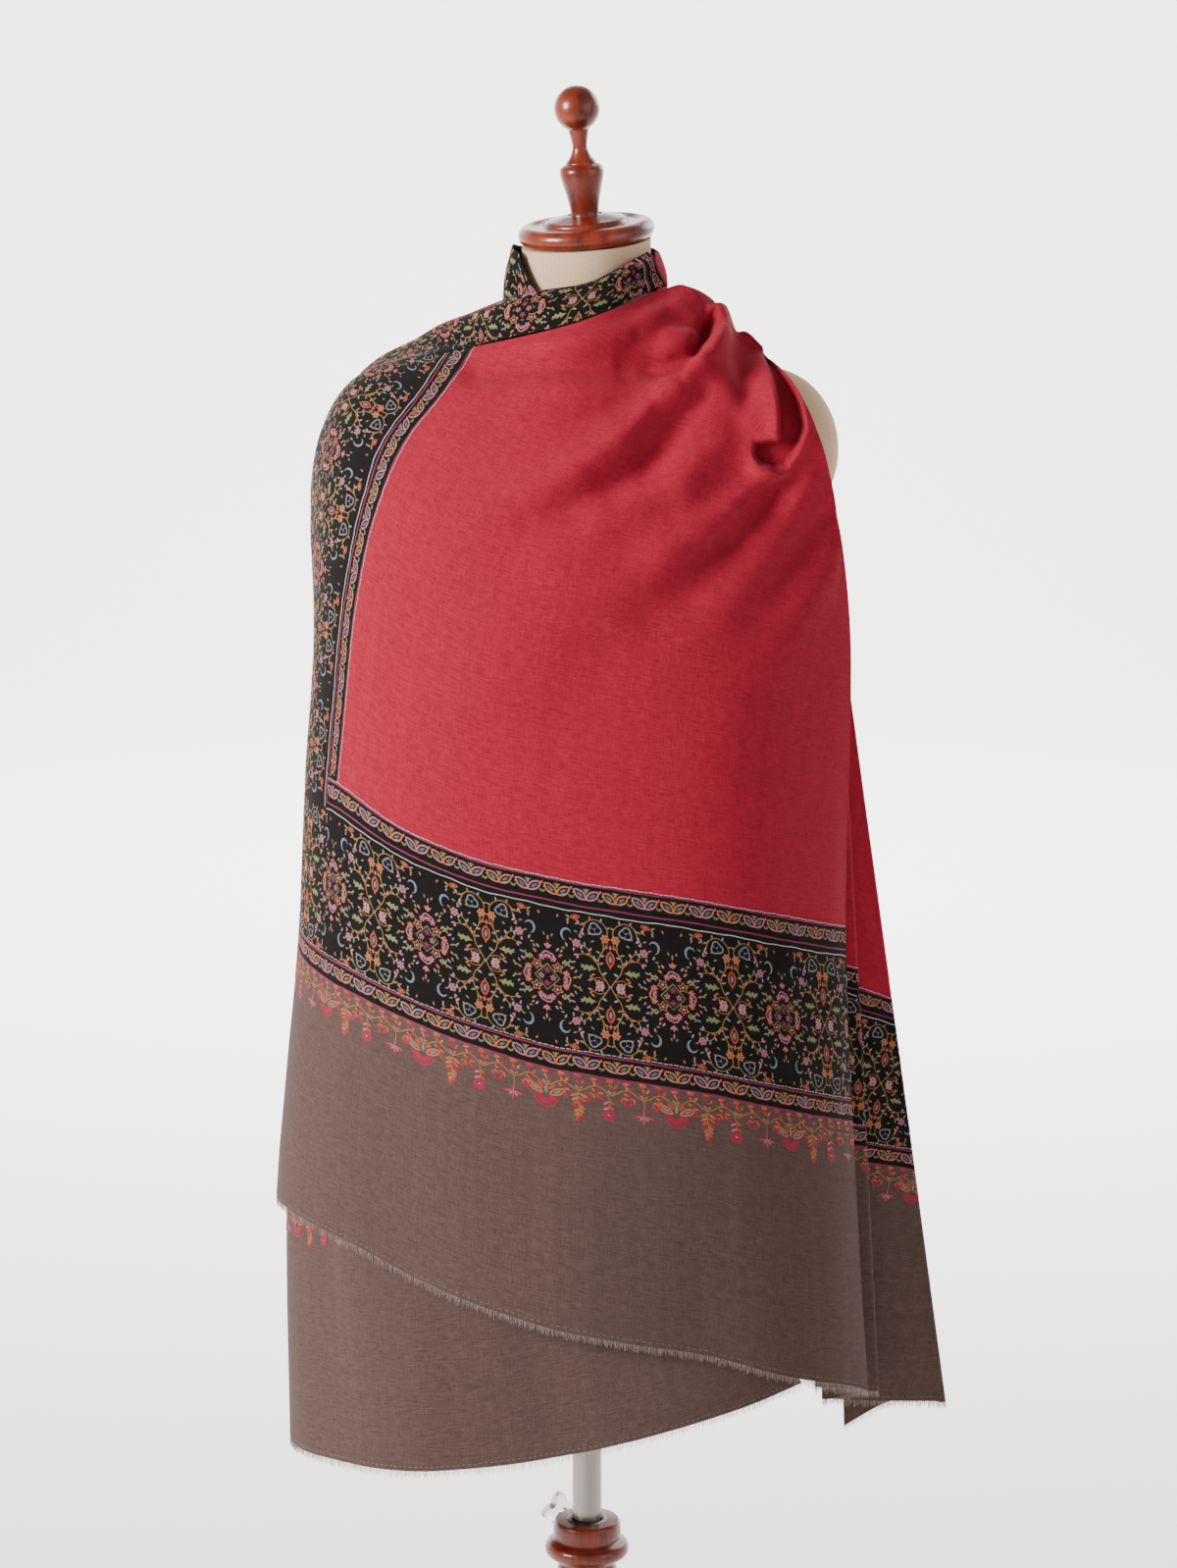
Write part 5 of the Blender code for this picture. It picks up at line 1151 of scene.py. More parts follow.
def pendants():
    """One period of what hangs below the lower guard, from its lower line down, 96 mm along."""
    d = Stitches()
    d.curve([(-48 + 12 * k, -7.0 if k % 2 else -13.4) for k in range(9)], 1.0, "ochre", 3)
    warm = ("scarlet", "orange", "crimson")
    for k in range(16):
        x, odd = -46 + 6.0 * k, k % 2
        d.leaf(x, -1.6 - 1.0 * odd, 12 if odd else 168, 6.2, 2.5, warm[k % 3])
        d.leaf(x + 2.2, -3.8, -56 if odd else -124, 4.6, 2.2, ("crimson", "scarlet", "orange")[(k + 1) % 3])
        d.leaf(x + 1.0, -9.4, -40 if odd else -140, 3.8, 1.7, ("ochre", "orange", "crimson", "pink")[k % 4])
    # a fan between two almonds
    for k in range(11):
        a = -170 + 16 * k
        d.leaf(*polar(0, -21.6, 2.4, a), a, 6.6, 1.9, "crimson")
    d.line([polar(0, -21.6, 9.2, -176 + 14.3 * k) for k in range(13)], 1.1, "crimson")
    for s in (1, -1):
        d.almond(8.4 * s, -17.4, 90 - 64 * s, 12.6, 4.6, "orange", "sky", 0.42)
        d.leaf(1.4 * s, -16.4, 90 - 52 * s, 7.0, 2.5, "scarlet")
    d.leaf(0, -20.0, 90, 6.6, 2.4, "sky")
    # stems, and a long spray on the second
    for points, width in ((((0, -7.0), (0.8, -11.4), (0, -16.4)), 0.9),
                          (((24.5, -12.0), (23.4, -19.0), (24.6, -27.0), (24.0, -35.0)), 1.0),
                          (((44.5, -12.0), (46.4, -18.0), (46.0, -25.0)), 0.9),
                          (((-24.5, -12.0), (-23.6, -18.0), (-24.2, -24.0)), 0.9)):
        d.curve(points, width, "ochre")
    for k in range(7):
        for s in (1, -1):
            d.leaf(24.2, -15.6 - 3.1 * k, -90 + s * (66 - 5 * k), 7.4 - 0.6 * k, 2.5,
                   ("ochre", "orange", "scarlet", "crimson")[(k + (s > 0)) % 4])
    d.leaf(24.0, -34.0, -90, 5.6, 2.7, "crimson")
    # a round flower, and one with few petals
    d.rosette(46.0, -29.4, 4.9, "crimson", "pink", 8, 0)
    for y, s in ((-17.4, 1), (-18.6, -1), (-22.0, 1), (-23.0, -1)):
        d.leaf(45.8, y, -90 + 58 * s, 5.0, 2.2, "scarlet" if s > 0 else "pink")
    for a, length in ((-90, 8.0), (-10, 8.6), (190, 8.6), (90, 5.6), (-48, 5.0), (228, 5.0)):
        d.leaf(-24.2, -26.0, a, length, 3.1, "crimson" if length > 5.2 else "orange")
        d.leaf(-24.2, -26.0, a, length * 0.8, 1.2, "sky", 1.4)
    for x, y, a in ((-17.0, -15.6, -52), (-31.4, -15.2, -128), (13.6, -14.6, -62), (34.4, -15.4, -118),
                    (38.0, -14.2, -44), (-11.4, -14.0, -112), (-39.2, -15.0, -72)):
        d.leaf(x, y, a, 6.6, 3.0, "crimson")
        d.leaf(x, y + 1.8, a + 42, 4.4, 1.8, "orange")
        d.leaf(x, y + 1.8, a - 42, 4.4, 1.8, "scarlet")
    return d


MEDALLION, TREE, PENDANTS = medallion(), tree(), pendants()
PAIRS = {name: guard_pair(name) for name in ("orange", "pink")}


def cell(g, i, j):
    """The four corners of a grid's cell that holds a fractional place, with the shares into it."""
    i0 = np.clip(i.astype(int), 0, g.shape[0] - 2)
    j0 = np.clip(j.astype(int), 0, g.shape[1] - 2)
    s, t = i - i0, j - j0
    if g.ndim == 3:
        s, t = s[:, None], t[:, None]
    return g[i0, j0], g[i0 + 1, j0], g[i0, j0 + 1], g[i0 + 1, j0 + 1], s, t


def read(g, i, j):
    a, b, c, d, s, t = cell(g, i, j)
    return a * (1 - s) * (1 - t) + b * s * (1 - t) + c * (1 - s) * t + d * s * t


def slopes(g, i, j):
    """A field's change along the grid's columns and rows."""
    a, b, c, d, s, t = cell(g, i, j)
    return (b - a) * (1 - t) + (d - c) * t, (c - a) * (1 - s) + (d - b) * s


def place_on(sheet, u, v, lift):
    """Points on a sheet at fabric coordinates, lifted off it, and whether each lies on it."""
    gu, gv = sheet["u"], sheet["v"]
    n, m = gu.shape
    # the nearest of a few places of the grid, then Newton's steps from there
    si, sj = max(n // 24, 1), max(m // 24, 1)
    cu, cv = gu[::si, ::sj].reshape(-1), gv[::si, ::sj].reshape(-1)
    ci, cj = np.meshgrid(np.arange(0, n, si), np.arange(0, m, sj), indexing="ij")
    i, j = np.empty(len(u)), np.empty(len(u))
    for a in range(0, len(u), AT_ONCE):
        some = slice(a, a + AT_ONCE)
        best = ((u[some, None] - cu) ** 2 + (v[some, None] - cv) ** 2).argmin(axis=1)
        i[some], j[some] = ci.reshape(-1)[best], cj.reshape(-1)[best]
    for _ in range(14):
        ru, rv = u - read(gu, i, j), v - read(gv, i, j)
        ui, uj = slopes(gu, i, j)
        vi, vj = slopes(gv, i, j)
        det = ui * vj - uj * vi
        det = np.where(np.abs(det) < 1e-12, 1e-12, det)
        i = np.clip(i + np.clip((ru * vj - uj * rv) / det, -6, 6), 0, n - 1)
        j = np.clip(j + np.clip((ui * rv - ru * vi) / det, -6, 6), 0, m - 1)
    ru, rv = u - read(gu, i, j), v - read(gv, i, j)
    good = (np.abs(ru) < PLACE_ERROR) & (np.abs(rv) < PLACE_ERROR)
    return read(sheet["p"], i, j) + read(sheet["normals"], i, j) * lift[:, None], good


def lay(rows, sheet, to_fabric):
    """The strokes as raised ribbons on a sheet. to_fabric turns millimetres into its u and v."""
    counts = np.array([len(r[0]) for r in rows])
    middle = np.concatenate([r[0] for r in rows])
    half = np.concatenate([r[1] for r in rows])
    lift = np.repeat([r[3] for r in rows], counts)
    tangent = np.concatenate([np.gradient(r[0], axis=0) for r in rows])
    tangent = tangent / np.maximum(np.linalg.norm(tangent, axis=1, keepdims=True), 1e-9)
    side = np.stack([-tangent[:, 1], tangent[:, 0]], axis=1) * half[:, None]
    u, v = to_fabric(*np.concatenate([middle - side, middle, middle + side]).T)
    rim = np.full(len(middle), THREAD_RIM)
    points, good = place_on(sheet, u, v, np.concatenate([rim, THREAD_RISE * lift, rim]))
    total = len(middle)
    start = np.concatenate([[0], np.cumsum(counts)[:-1]])
    segment = np.concatenate([np.arange(s, s + c - 1) for s, c in zip(start, counts)])
    thread = np.repeat([THREAD_ORDER.index(r[2]) for r in rows], counts - 1)
    good = good.reshape(3, total).all(axis=0)
    keep = good[segment] & good[segment + 1]
    segment, thread = segment[keep], thread[keep]
    quad = np.stack([segment, segment + 1, segment + 1 + total, segment + total], axis=1)
    return points, np.concatenate([quad, quad + total]), np.concatenate([thread, thread])


def repeated(motif, start, stop, pitch, phase=0.0):
    """A motif set side by side, every pitch from the phase, past both ends."""
    rows = Stitches()
    for k in range(math.floor((start - phase) / pitch) - 1, math.ceil((stop - phase) / pitch) + 2):
        rows.add(motif, phase + k * pitch)
    return rows


def strip_rows(start, stop, phase):
    """Medallions and trees along a strip, its middle at zero."""
    both = Stitches()
    both.add(MEDALLION)
    both.add(TREE, PERIOD / 2)
    return repeated(both, start, stop, PERIOD, phase)


def guard_rows(start, stop, phase=0.0, flip=1):
    rows = Stitches()
    for k in range(math.floor((start - phase) / PAIR_PITCH), math.ceil((stop - phase) / PAIR_PITCH) + 1):
        rows.add(PAIRS["orange" if k % 2 else "pink"], phase + k * PAIR_PITCH, 0, 1, flip)
    return rows


def long_line(start, stop, y, width, thread, lift=1.2, waver=0.0, seed=0.0):
    rows = Stitches()
    x = np.arange(start, stop, 3.0)
    wave = waver * (np.sin(x * 0.11 + seed) + 0.6 * np.sin(x * 0.31 + 2 * seed))
    rows.line(np.stack([x, y + wave], axis=1), width, thread, lift)
    return rows


def running_line(start, stop, y, width, dash, gap, thread, waver):
    """A running stitch, its dashes of uneven length."""
    rows = Stitches()
    x, k = start, 0
    while x < stop:
        length = dash * (0.85 + 0.3 * ((k * 37) % 10) / 10)
        y0 = y + waver * math.sin(x * 0.05) + 0.2 * math.sin(k * 1.7)
        rows.line([(x, y0), (x + length * 0.5, y0 + 0.1), (x + length, y0)], width, thread)
        x += length + gap
        k += 1
    return rows


def split_long(rows, limit=40):
    """Long strokes cut into shorter ones that share their ends."""
    out = []
    for pts, half, thread, lift in rows:
        for a in range(0, max(len(pts) - 1, 1), limit - 1):
            some = slice(a, a + limit) if len(pts) > limit else slice(None)
            out.append((pts[some], half[some], thread, lift))
            if len(pts) <= limit:
                break
    return out


def zone(sheet, strokes, to_fabric, allowed=None):
    """Strokes laid on a sheet, those whose middle falls where the pattern is allowed."""
    rows = split_long(strokes.rows)
    if allowed is not None:
        centres = np.array([r[0].mean(axis=0) for r in rows])
        rows = [r for r, ok in zip(rows, allowed(*to_fabric(*centres.T))) if ok]
    return [lay(rows, sheet, to_fabric)] if rows else []


def across_cloth(middle):
    """Strokes that run across the cloth, beside a line at this v."""
    return lambda x, y: (x / MM, middle + y / MM)


def along_cloth(middle):
    """Strokes that run along the cloth, beside a line at this u."""
    return lambda x, y: (middle + y / MM, x / MM)


def between(axis, low, high):
    """Whether u, at axis 0, or v, at 1, lies between two places."""
    return lambda *place: (place[axis] > low) & (place[axis] < high)


def stitched(name, parts, materials):
    """One mesh of many laid parts."""
    starts = np.cumsum([0] + [len(p) for p, _, _ in parts[:-1]])
    points = np.concatenate([p for p, _, _ in parts])
    faces = np.concatenate([f + start for (_, f, _), start in zip(parts, starts)])
    used, index = np.unique(faces, return_inverse=True)
    obj = make_mesh(name, points[used], index.reshape(faces.shape), materials)
    slots = np.concatenate([s for _, _, s in parts])
    obj.data.polygons.foreach_set("material_index", slots.astype(np.int32))
    return obj


def palla(sheet, start, stop, phase, field_from=None, field_to=None):
    """The end border between two places across the cloth. The others bound its top guard."""
    a = start if field_from is None else field_from
    b = stop if field_to is None else field_to
    inside = between(0, start / MM, stop / MM)
    parts = zone(sheet, strip_rows(start, stop, phase), across_cloth(PALLA_LOW + MAIN_MIDDLE), inside)
    parts += zone(sheet, guard_rows(start, stop), across_cloth(TAUPE_END + LOW_GUARD / 2), inside)
    parts += zone(sheet, guard_rows(a, b), across_cloth(PALLA_HIGH + TOP_GUARD / 2),
                  between(0, a / MM + 0.003, b / MM))
    low, middle, high, top = (v * MM for v in (TAUPE_END, PALLA_LOW, PALLA_HIGH, PALLA_TOP))
    lines = Stitches()
    lines.add(long_line(start, stop, low + 0.6, 1.3, "magenta", 1.2, 0.15, 1.0))
    lines.add(long_line(start, stop, middle - 0.6, 1.2, "magenta", 1.2, 0.15, 2.0))
    lines.add(running_line(start, stop, middle + 1.2, 0.6, 3.4, 0.9, "white", 0.2))
    lines.add(long_line(a, b, high + 0.6, 1.3, "magenta", 1.2, 0.15, 3.0))
    lines.add(long_line(a, b, top - 0.9, 1.3, "magenta", 1.2, 0.15, 4.0))
    lines.add(long_line(a, b, high - 4.4, 0.75, "white", 1.0, 0.35, 5.0))
    lines.add(running_line(a, b, top + 0.4, 0.65, 3.6, 0.5, "white", 0.3))
    lines.add(repeated(PENDANTS, start, stop, PERIOD, phase), 0, low)
    return parts + zone(sheet, lines, across_cloth(0.0), inside)


def side(sheet, low, high):
    """The long edge's border between two places along the cloth."""
    inside = between(1, low / MM, high / MM)
    parts = zone(sheet, strip_rows(low, high, SIDE_PHASE), along_cloth(SIDE_MARGIN + MAIN_MIDDLE), inside)
    parts += zone(sheet, guard_rows(low, high, 0.0, -1), along_cloth(SIDE_MAIN + TOP_GUARD / 2),
                  between(1, max(low / MM, PALLA_TOP + 0.004), high / MM))
    start = max(low, PALLA_HIGH * MM + 0.6)
    past = start + TOP_GUARD * MM
    main, field = SIDE_MAIN * MM, SIDE_FIELD * MM
    lines = Stitches()
    lines.add(long_line(start, high, main + 0.6, 1.3, "magenta", 1.2, 0.15, 1.5))
    lines.add(long_line(past - 1.0, high, field - 0.9, 1.3, "magenta", 1.2, 0.15, 2.5))
    lines.add(long_line(start - 5.0, high, main - 2.4, 0.75, "white", 1.0, 0.3, 3.5))
    lines.add(running_line(past, high, field + 0.4, 0.65, 3.6, 0.5, "white", 0.3))
    return parts + zone(sheet, lines, along_cloth(0.0), inside)


def hem_stitch(sheet):
    u = sheet["u"][:, -1] * MM
    return zone(sheet, running_line(float(u.min()), float(u.max()), 3.6, 0.40, 2.4, 2.2, "stitch", 0.2),
                across_cloth(0.0))


def guard_across(ats, stop):
    """The guard's three lines across a strip of the border."""
    lines = Stitches()
    for at, (width, thread) in zip(ats, ((1.2, "magenta"), (1.2, "magenta"), (0.7, "white"))):
        lines.add(long_line(0, stop, at, width, thread))
    return lines


def band_work(band):
    length = float(band["v"].max())
    along = band["v"][:, 0]
    half = band["u"][:, -1] / 2
    red = (band["edge"] + band["u"])[:, 0] - SIDE_FIELD

    def to_band(x, y):
        return np.interp(x / MM, along, half) + y / MM * 0.88, x / MM

    def on_black(u, v):
        """On the band's black, clear of the guard at its end."""
        return (v < length - 0.0185) & (u > np.interp(v, along, red) + 0.001)

    parts = zone(band, strip_rows(0, length * MM, length * MM - 222.0), to_band, on_black)
    parts += zone(band, guard_rows(0, 90, 8.0), lambda x, y: (x / MM, length - 0.0078 + y / MM * 0.80))
    return parts + zone(band, guard_across((1.0, 15.6, 17.4), 90), lambda x, y: (x / MM, length - y / MM))


def collar_work(collar):
    parts = zone(collar, strip_rows(40, float(collar["v"].max()) * MM, 96.0), along_cloth(0.022),
                 lambda u, v: v > 0.0545 - COLLAR_SLANT * u)
    lines = guard_across((34.9, 52.4, 54.4), 70)
    lines.add(guard_rows(0, 70, 8.0, -1), 0, 43.5)
    return parts + zone(collar, lines, lambda x, y: (x / MM, (y - COLLAR_SLANT * x) / MM))


def embroider(sheets, threads):
    """All the needlework, one piece for each sheet."""
    front, fall, back, under = (sheets[name] for name in ("front", "fall", "back", "under"))
    # the medallion that stands left of the middle sets the end border's step
    across, toward = drape_place(front["p"])
    row = int(np.argmin(np.abs(front["v"][100] - (PALLA_LOW + MAIN_MIDDLE))))
    bearing = np.degrees(np.arctan2(across[:, row], toward[:, row]))
    phase = float(np.interp(-10.6, bearing, front["u"][:, row])) * MM
    width = float(front["u"][:, -60].max()) * MM
    tops = {name: float(sheet["v"].max()) * MM for name, sheet in sheets.items()}
    fall_from, fall_to = float(fall["u"].min()) * MM, float(fall["u"].max()) * MM
    back_from, back_to = float(back["u"].min()) * MM, float(back["u"][:, -1].max()) * MM
    under_from = float(under["u"].min()) * MM
    corner = SIDE_MAIN * MM
    work = dict(
        front=palla(front, 0.0, width, phase, corner, width)
        + side(front, PALLA_HIGH * MM + 1.0, tops["front"]) + hem_stitch(front),
        fall=palla(fall, fall_from, fall_to, phase + 5 * PERIOD)
        + side(dict(fall, u=fall["edge"]), PALLA_TOP * MM + 1.0, tops["fall"]) + hem_stitch(fall),
        back=palla(back, back_from, back_to, 60.0, corner, back_to)
        + side(back, PALLA_HIGH * MM + 1.0, tops["back"]) + hem_stitch(back),
        under=palla(under, under_from, under_from + 260.0, under_from + 20.0) + hem_stitch(under),
        band=band_work(sheets["band"]),
        collar=collar_work(sheets["collar"]),
    )
    return {name: stitched("needlework_" + name, parts, threads) for name, parts in work.items()}


def fringe(sheet, name, material, seed):
    """Fine cut threads along a hem, each leaning its own way."""
    rng = np.random.default_rng(seed)
    hem, normal = sheet["p"][:, -1], sheet["normals"][:, -1]
    run = np.concatenate([[0], np.cumsum(np.linalg.norm(np.diff(hem, axis=0), axis=1))])
    at = np.arange(0.0004, run[-1], FRINGE_PITCH)
    at = at + rng.uniform(-0.0003, 0.0003, len(at))
    count = len(at)
    base = interp_points(at, run, hem)
    n = interp_points(at, run, normal)
    n /= np.linalg.norm(n, axis=1, keepdims=True)
    side_way = np.cross(n, (0, 0, 1.0))
    side_way /= np.linalg.norm(side_way, axis=1, keepdims=True)
    base = base - n * WALL * 0.5 + np.array([0, 0, 0.0006])
    long = FRINGE_LENGTH * rng.uniform(0.72, 1.12, count)
    clump = 0.35 * np.sin(at * 700.0) + 0.25 * np.sin(at * 263.0 + 1.0)
    lean = (clump * 0.28 + rng.normal(0, 0.10, count))[:, None] * side_way
    lean = lean + rng.normal(0.04, 0.08, (count, 1)) * n
    down = np.array([0, 0, -1.0]) + lean
    curl = rng.normal(0, 0.14, (count, 1)) * side_way * FRINGE_LENGTH
    rings = []
    for t, r in ((0.0, 1.0), (0.5, 0.9), (1.0, 0.35)):
        centre = base + down * long[:, None] * t + curl * t * t
        for k in range(3):
            a = math.radians(120 * k)
            rings.append(centre + (side_way * math.cos(a) + n * math.sin(a)) * FRINGE_RADIUS * r)
    points = np.stack(rings, axis=1).reshape(-1, 3)
    start = (np.arange(count) * 9)[:, None, None]
    faces = (start + np.array(ring_faces(3, 3))[None]).reshape(-1, 4)
    return make_mesh(name, points, faces, [material])


# Materials
class Paint:
    """A material with short ways to add its nodes."""

    def __init__(self, name, roughness, specular=0.5, metallic=0.0, place="Object"):
        self.material = bpy.data.materials.new(name)
        self.material.use_nodes = True
        self.nodes, self.links = self.material.node_tree.nodes, self.material.node_tree.links
        self.shader = self.nodes["Principled BSDF"]
        self.set(self.shader, **{"Roughness": roughness, "Metallic": metallic,
                                 "Specular IOR Level": specular})
        self.place = self.nodes.new("ShaderNodeTexCoord").outputs[place]

    def set(self, node, **inputs):
        """Values and links into a node's inputs, by their names."""
        for name, value in inputs.items():
            socket = node.inputs[name]
            if isinstance(value, bpy.types.NodeSocket):
                self.links.new(value, socket)
            elif isinstance(value, tuple) and socket.type == "RGBA":
                socket.default_value = (*value, 1.0)
            else:
                socket.default_value = value

    def math(self, operation, a, b):
        node = self.nodes.new("ShaderNodeMath")
        node.operation = operation
        for k, value in enumerate((a, b)):
            if isinstance(value, float):
                node.inputs[k].default_value = value
            else:
                self.links.new(value, node.inputs[k])
        return node.outputs[0]

    def mean(self, *values):
        total = values[0]
        for value in values[1:]:
            total = self.math("ADD", total, value)
        return self.math("MULTIPLY", total, 1.0 / len(values))

    def mix(self, factor, a, b):
        node = self.nodes.new("ShaderNodeMix")
        node.data_type = "RGBA"
        for name, value in (("Factor", factor), ("A", a), ("B", b)):
            sockets = [s for s in node.inputs if s.name == name and s.enabled]
            if isinstance(value, tuple):
                sockets[0].default_value = (*value, 1.0)
            else:
                self.links.new(value, sockets[0])
        return node.outputs["Result"]

    def noise(self, scale, detail=2.0, stretch=(1.0, 1.0, 1.0), rough=0.5):
        mapping = self.nodes.new("ShaderNodeMapping")
        self.set(mapping, Vector=self.place, Scale=stretch)
        noise = self.nodes.new("ShaderNodeTexNoise")
        self.set(noise, Vector=mapping.outputs["Vector"], Scale=scale, Detail=detail, Roughness=rough)
        return noise.outputs["Fac"]

    def span(self, value, low, high, to_low=0.0, to_high=1.0):
        node = self.nodes.new("ShaderNodeMapRange")
        self.set(node, **{"Value": value, "From Min": low, "From Max": high,
                          "To Min": to_low, "To Max": to_high})
        return node.outputs["Result"]

    def attribute(self, name):
        node = self.nodes.new("ShaderNodeAttribute")
        node.attribute_name = name
        return node.outputs["Fac"]

    def weave(self, height, strength, distance):
        bump = self.nodes.new("ShaderNodeBump")
        self.set(bump, Height=height, Strength=strength, Distance=distance)
        self.set(self.shader, Normal=bump.outputs["Normal"])

    def done(self, colour, **inputs):
        self.set(self.shader, **{"Base Color": colour}, **inputs)
        return self.material


def cloth_material(name):
    """Fine wool with a mottled, slubbed yarn. Its colour changes at the borders' lines."""
    paint = Paint(name, 0.86, 0.10, place="UV")
    edge, end = paint.attribute("edge"), paint.attribute("end")
    field = paint.math("MULTIPLY", paint.math("GREATER_THAN", end, PALLA_TOP),
                       paint.math("GREATER_THAN", edge, SIDE_FIELD))
    base = paint.mix(field, BLACK, RED)
    base = paint.mix(paint.math("LESS_THAN", end, TAUPE_END), base, TAUPE)
    yarn = paint.mean(paint.noise(1100.0, 2.0, (1.0, 0.10, 1.0), 0.6),
                      paint.noise(1200.0, 2.0, (0.08, 1.0, 1.0), 0.6),
                      paint.noise(900.0, 3.0, (1.0, 1.0, 1.0), 0.65),
                      paint.noise(620.0, 3.0, (0.16, 1.0, 1.0), 0.65))
    streak = paint.mean(paint.noise(170.0, 3.0, (1.0, 0.030, 1.0), 0.6),
                        paint.noise(240.0, 3.0, (0.030, 1.0, 1.0), 0.6))
    tone = paint.math("MULTIPLY", paint.span(yarn, 0.41, 0.59, 0.73, 1.27),
                      paint.span(streak, 0.35, 0.65, 0.92, 1.08))
    value = paint.nodes.new("ShaderNodeHueSaturation")
    paint.set(value, Color=base, Value=tone)
    paint.weave(yarn, 0.22, 0.0005)
    return paint.done(value.outputs["Color"], **{"Sheen Weight": 0.035, "Sheen Roughness": 0.5,
                                                 "Sheen Tint": (1.0, 0.75, 0.72)})


def plain_material(name, roughness, specular, low, high, scale, detail=1.0, stretch=(1.0, 1.0, 1.0),
                   metallic=0.0, **inputs):
    """Two tones of a colour, mottled."""
    paint = Paint(name, roughness, specular, metallic)
    return paint.done(paint.mix(paint.noise(scale, detail, stretch), low, high), **inputs)


def toned(colour, share):
    return tuple(min(c * share, 1.0) for c in colour)


def linen_material():
    paint = Paint("linen_cloth", 0.9, 0.2)
    yarn = paint.mean(paint.noise(1100.0, 2.0, (0.12, 0.12, 1.0)), paint.noise(1100.0, 2.0, (1.0, 1.0, 0.10)))
    paint.weave(yarn, 0.35, 0.0004)
    return paint.done(paint.mix(yarn, *LINEN))


def mahogany_material():
    paint = Paint("mahogany_gloss", 0.30, 0.35)
    grain = paint.noise(60.0, 4.0, (1.0, 1.0, 0.16), 0.6)
    fine = paint.noise(420.0, 2.0, (1.0, 1.0, 0.10), 0.6)
    both = paint.math("ADD", grain, paint.math("MULTIPLY", fine, 0.35))
    return paint.done(paint.mix(paint.span(both, 0.45, 0.90), *MAHOGANY),
                      **{"Coat Weight": 0.30, "Coat Roughness": 0.10})


def metal_material(name, colour, roughness):
    return plain_material(name, roughness, 0.5, toned(colour, 0.86), toned(colour, 1.1), 700.0, 2.0,
                          (1.0, 1.0, 0.06), 1.0)


# Turned and moulded pieces
def ring_faces(rows, sides, start=0):
    """Quads between rings of points."""
    faces = []
    for a in range(start, start + (rows - 1) * sides, sides):
        for k in range(sides):
            q = (k + 1) % sides
            faces.append((a + k, a + q, a + sides + q, a + sides + k))
    return faces


def capped_rings(rows, sides):
    """The faces of a closed body of rings, with flat ends."""
    low, high = range(sides), range((rows - 1) * sides, rows * sides)
    return [tuple(reversed(low))] + ring_faces(rows, sides) + [tuple(high)]


def lathe(name, profile, sides, material, matrix=Matrix()):
    points, rows = [], []
    for radius, up in profile:
        count = sides if radius > 1e-6 else 1
        rows.append(list(range(len(points), len(points) + count)))
        points += [polar(0.0, 0.0, radius, 360.0 * k / sides) + (up,) for k in range(count)]
    faces = []
    for low, high in zip(rows, rows[1:]):
        for k in range(sides):
            q = (k + 1) % sides
            if len(low) == 1 and len(high) > 1:
                faces.append((low[0], high[q], high[k]))
            elif len(high) == 1 and len(low) > 1:
                faces.append((low[k], low[q], high[0]))
            else:
                faces.append((low[k], low[q], high[q], high[k]))
    obj = make_mesh(name, [tuple(matrix @ Vector(q)) for q in points], faces, [material])
    obj.data.set_sharp_from_angle(angle=math.radians(38))
    return obj


def softened(profile, steps=6):
    """A smooth curve through a run of places of a profile."""
    q = np.array(profile)
    slope = (np.roll(q, -1, axis=0) - np.roll(q, 1, axis=0)) / 2
    slope[0], slope[-1] = (q[1] - q[0]) / 2, (q[-1] - q[-2]) / 2
    out = []
    for k in range(len(q) - 1):
        for s in range(steps):
            t = s / steps
            point = ((2 * t ** 3 - 3 * t ** 2 + 1) * q[k] + (t ** 3 - 2 * t ** 2 + t) * slope[k]
                     + (3 * t ** 2 - 2 * t ** 3) * q[k + 1] + (t ** 3 - t ** 2) * slope[k + 1])
            out.append(tuple(point))
    return out + [tuple(q[-1])]


def arc(centre_radius, centre_up, radius, start, end, count):
    places = [polar(centre_radius, centre_up, radius, lerp(start, end, k / count)) for k in range(count + 1)]
    return [(max(across, 0.0), up) for across, up in places]


def dress(obj, node, body):
    """Hides the solid that a piece stands for, and sets the piece on the body that it rides on."""
    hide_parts(node)
    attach(obj, body)


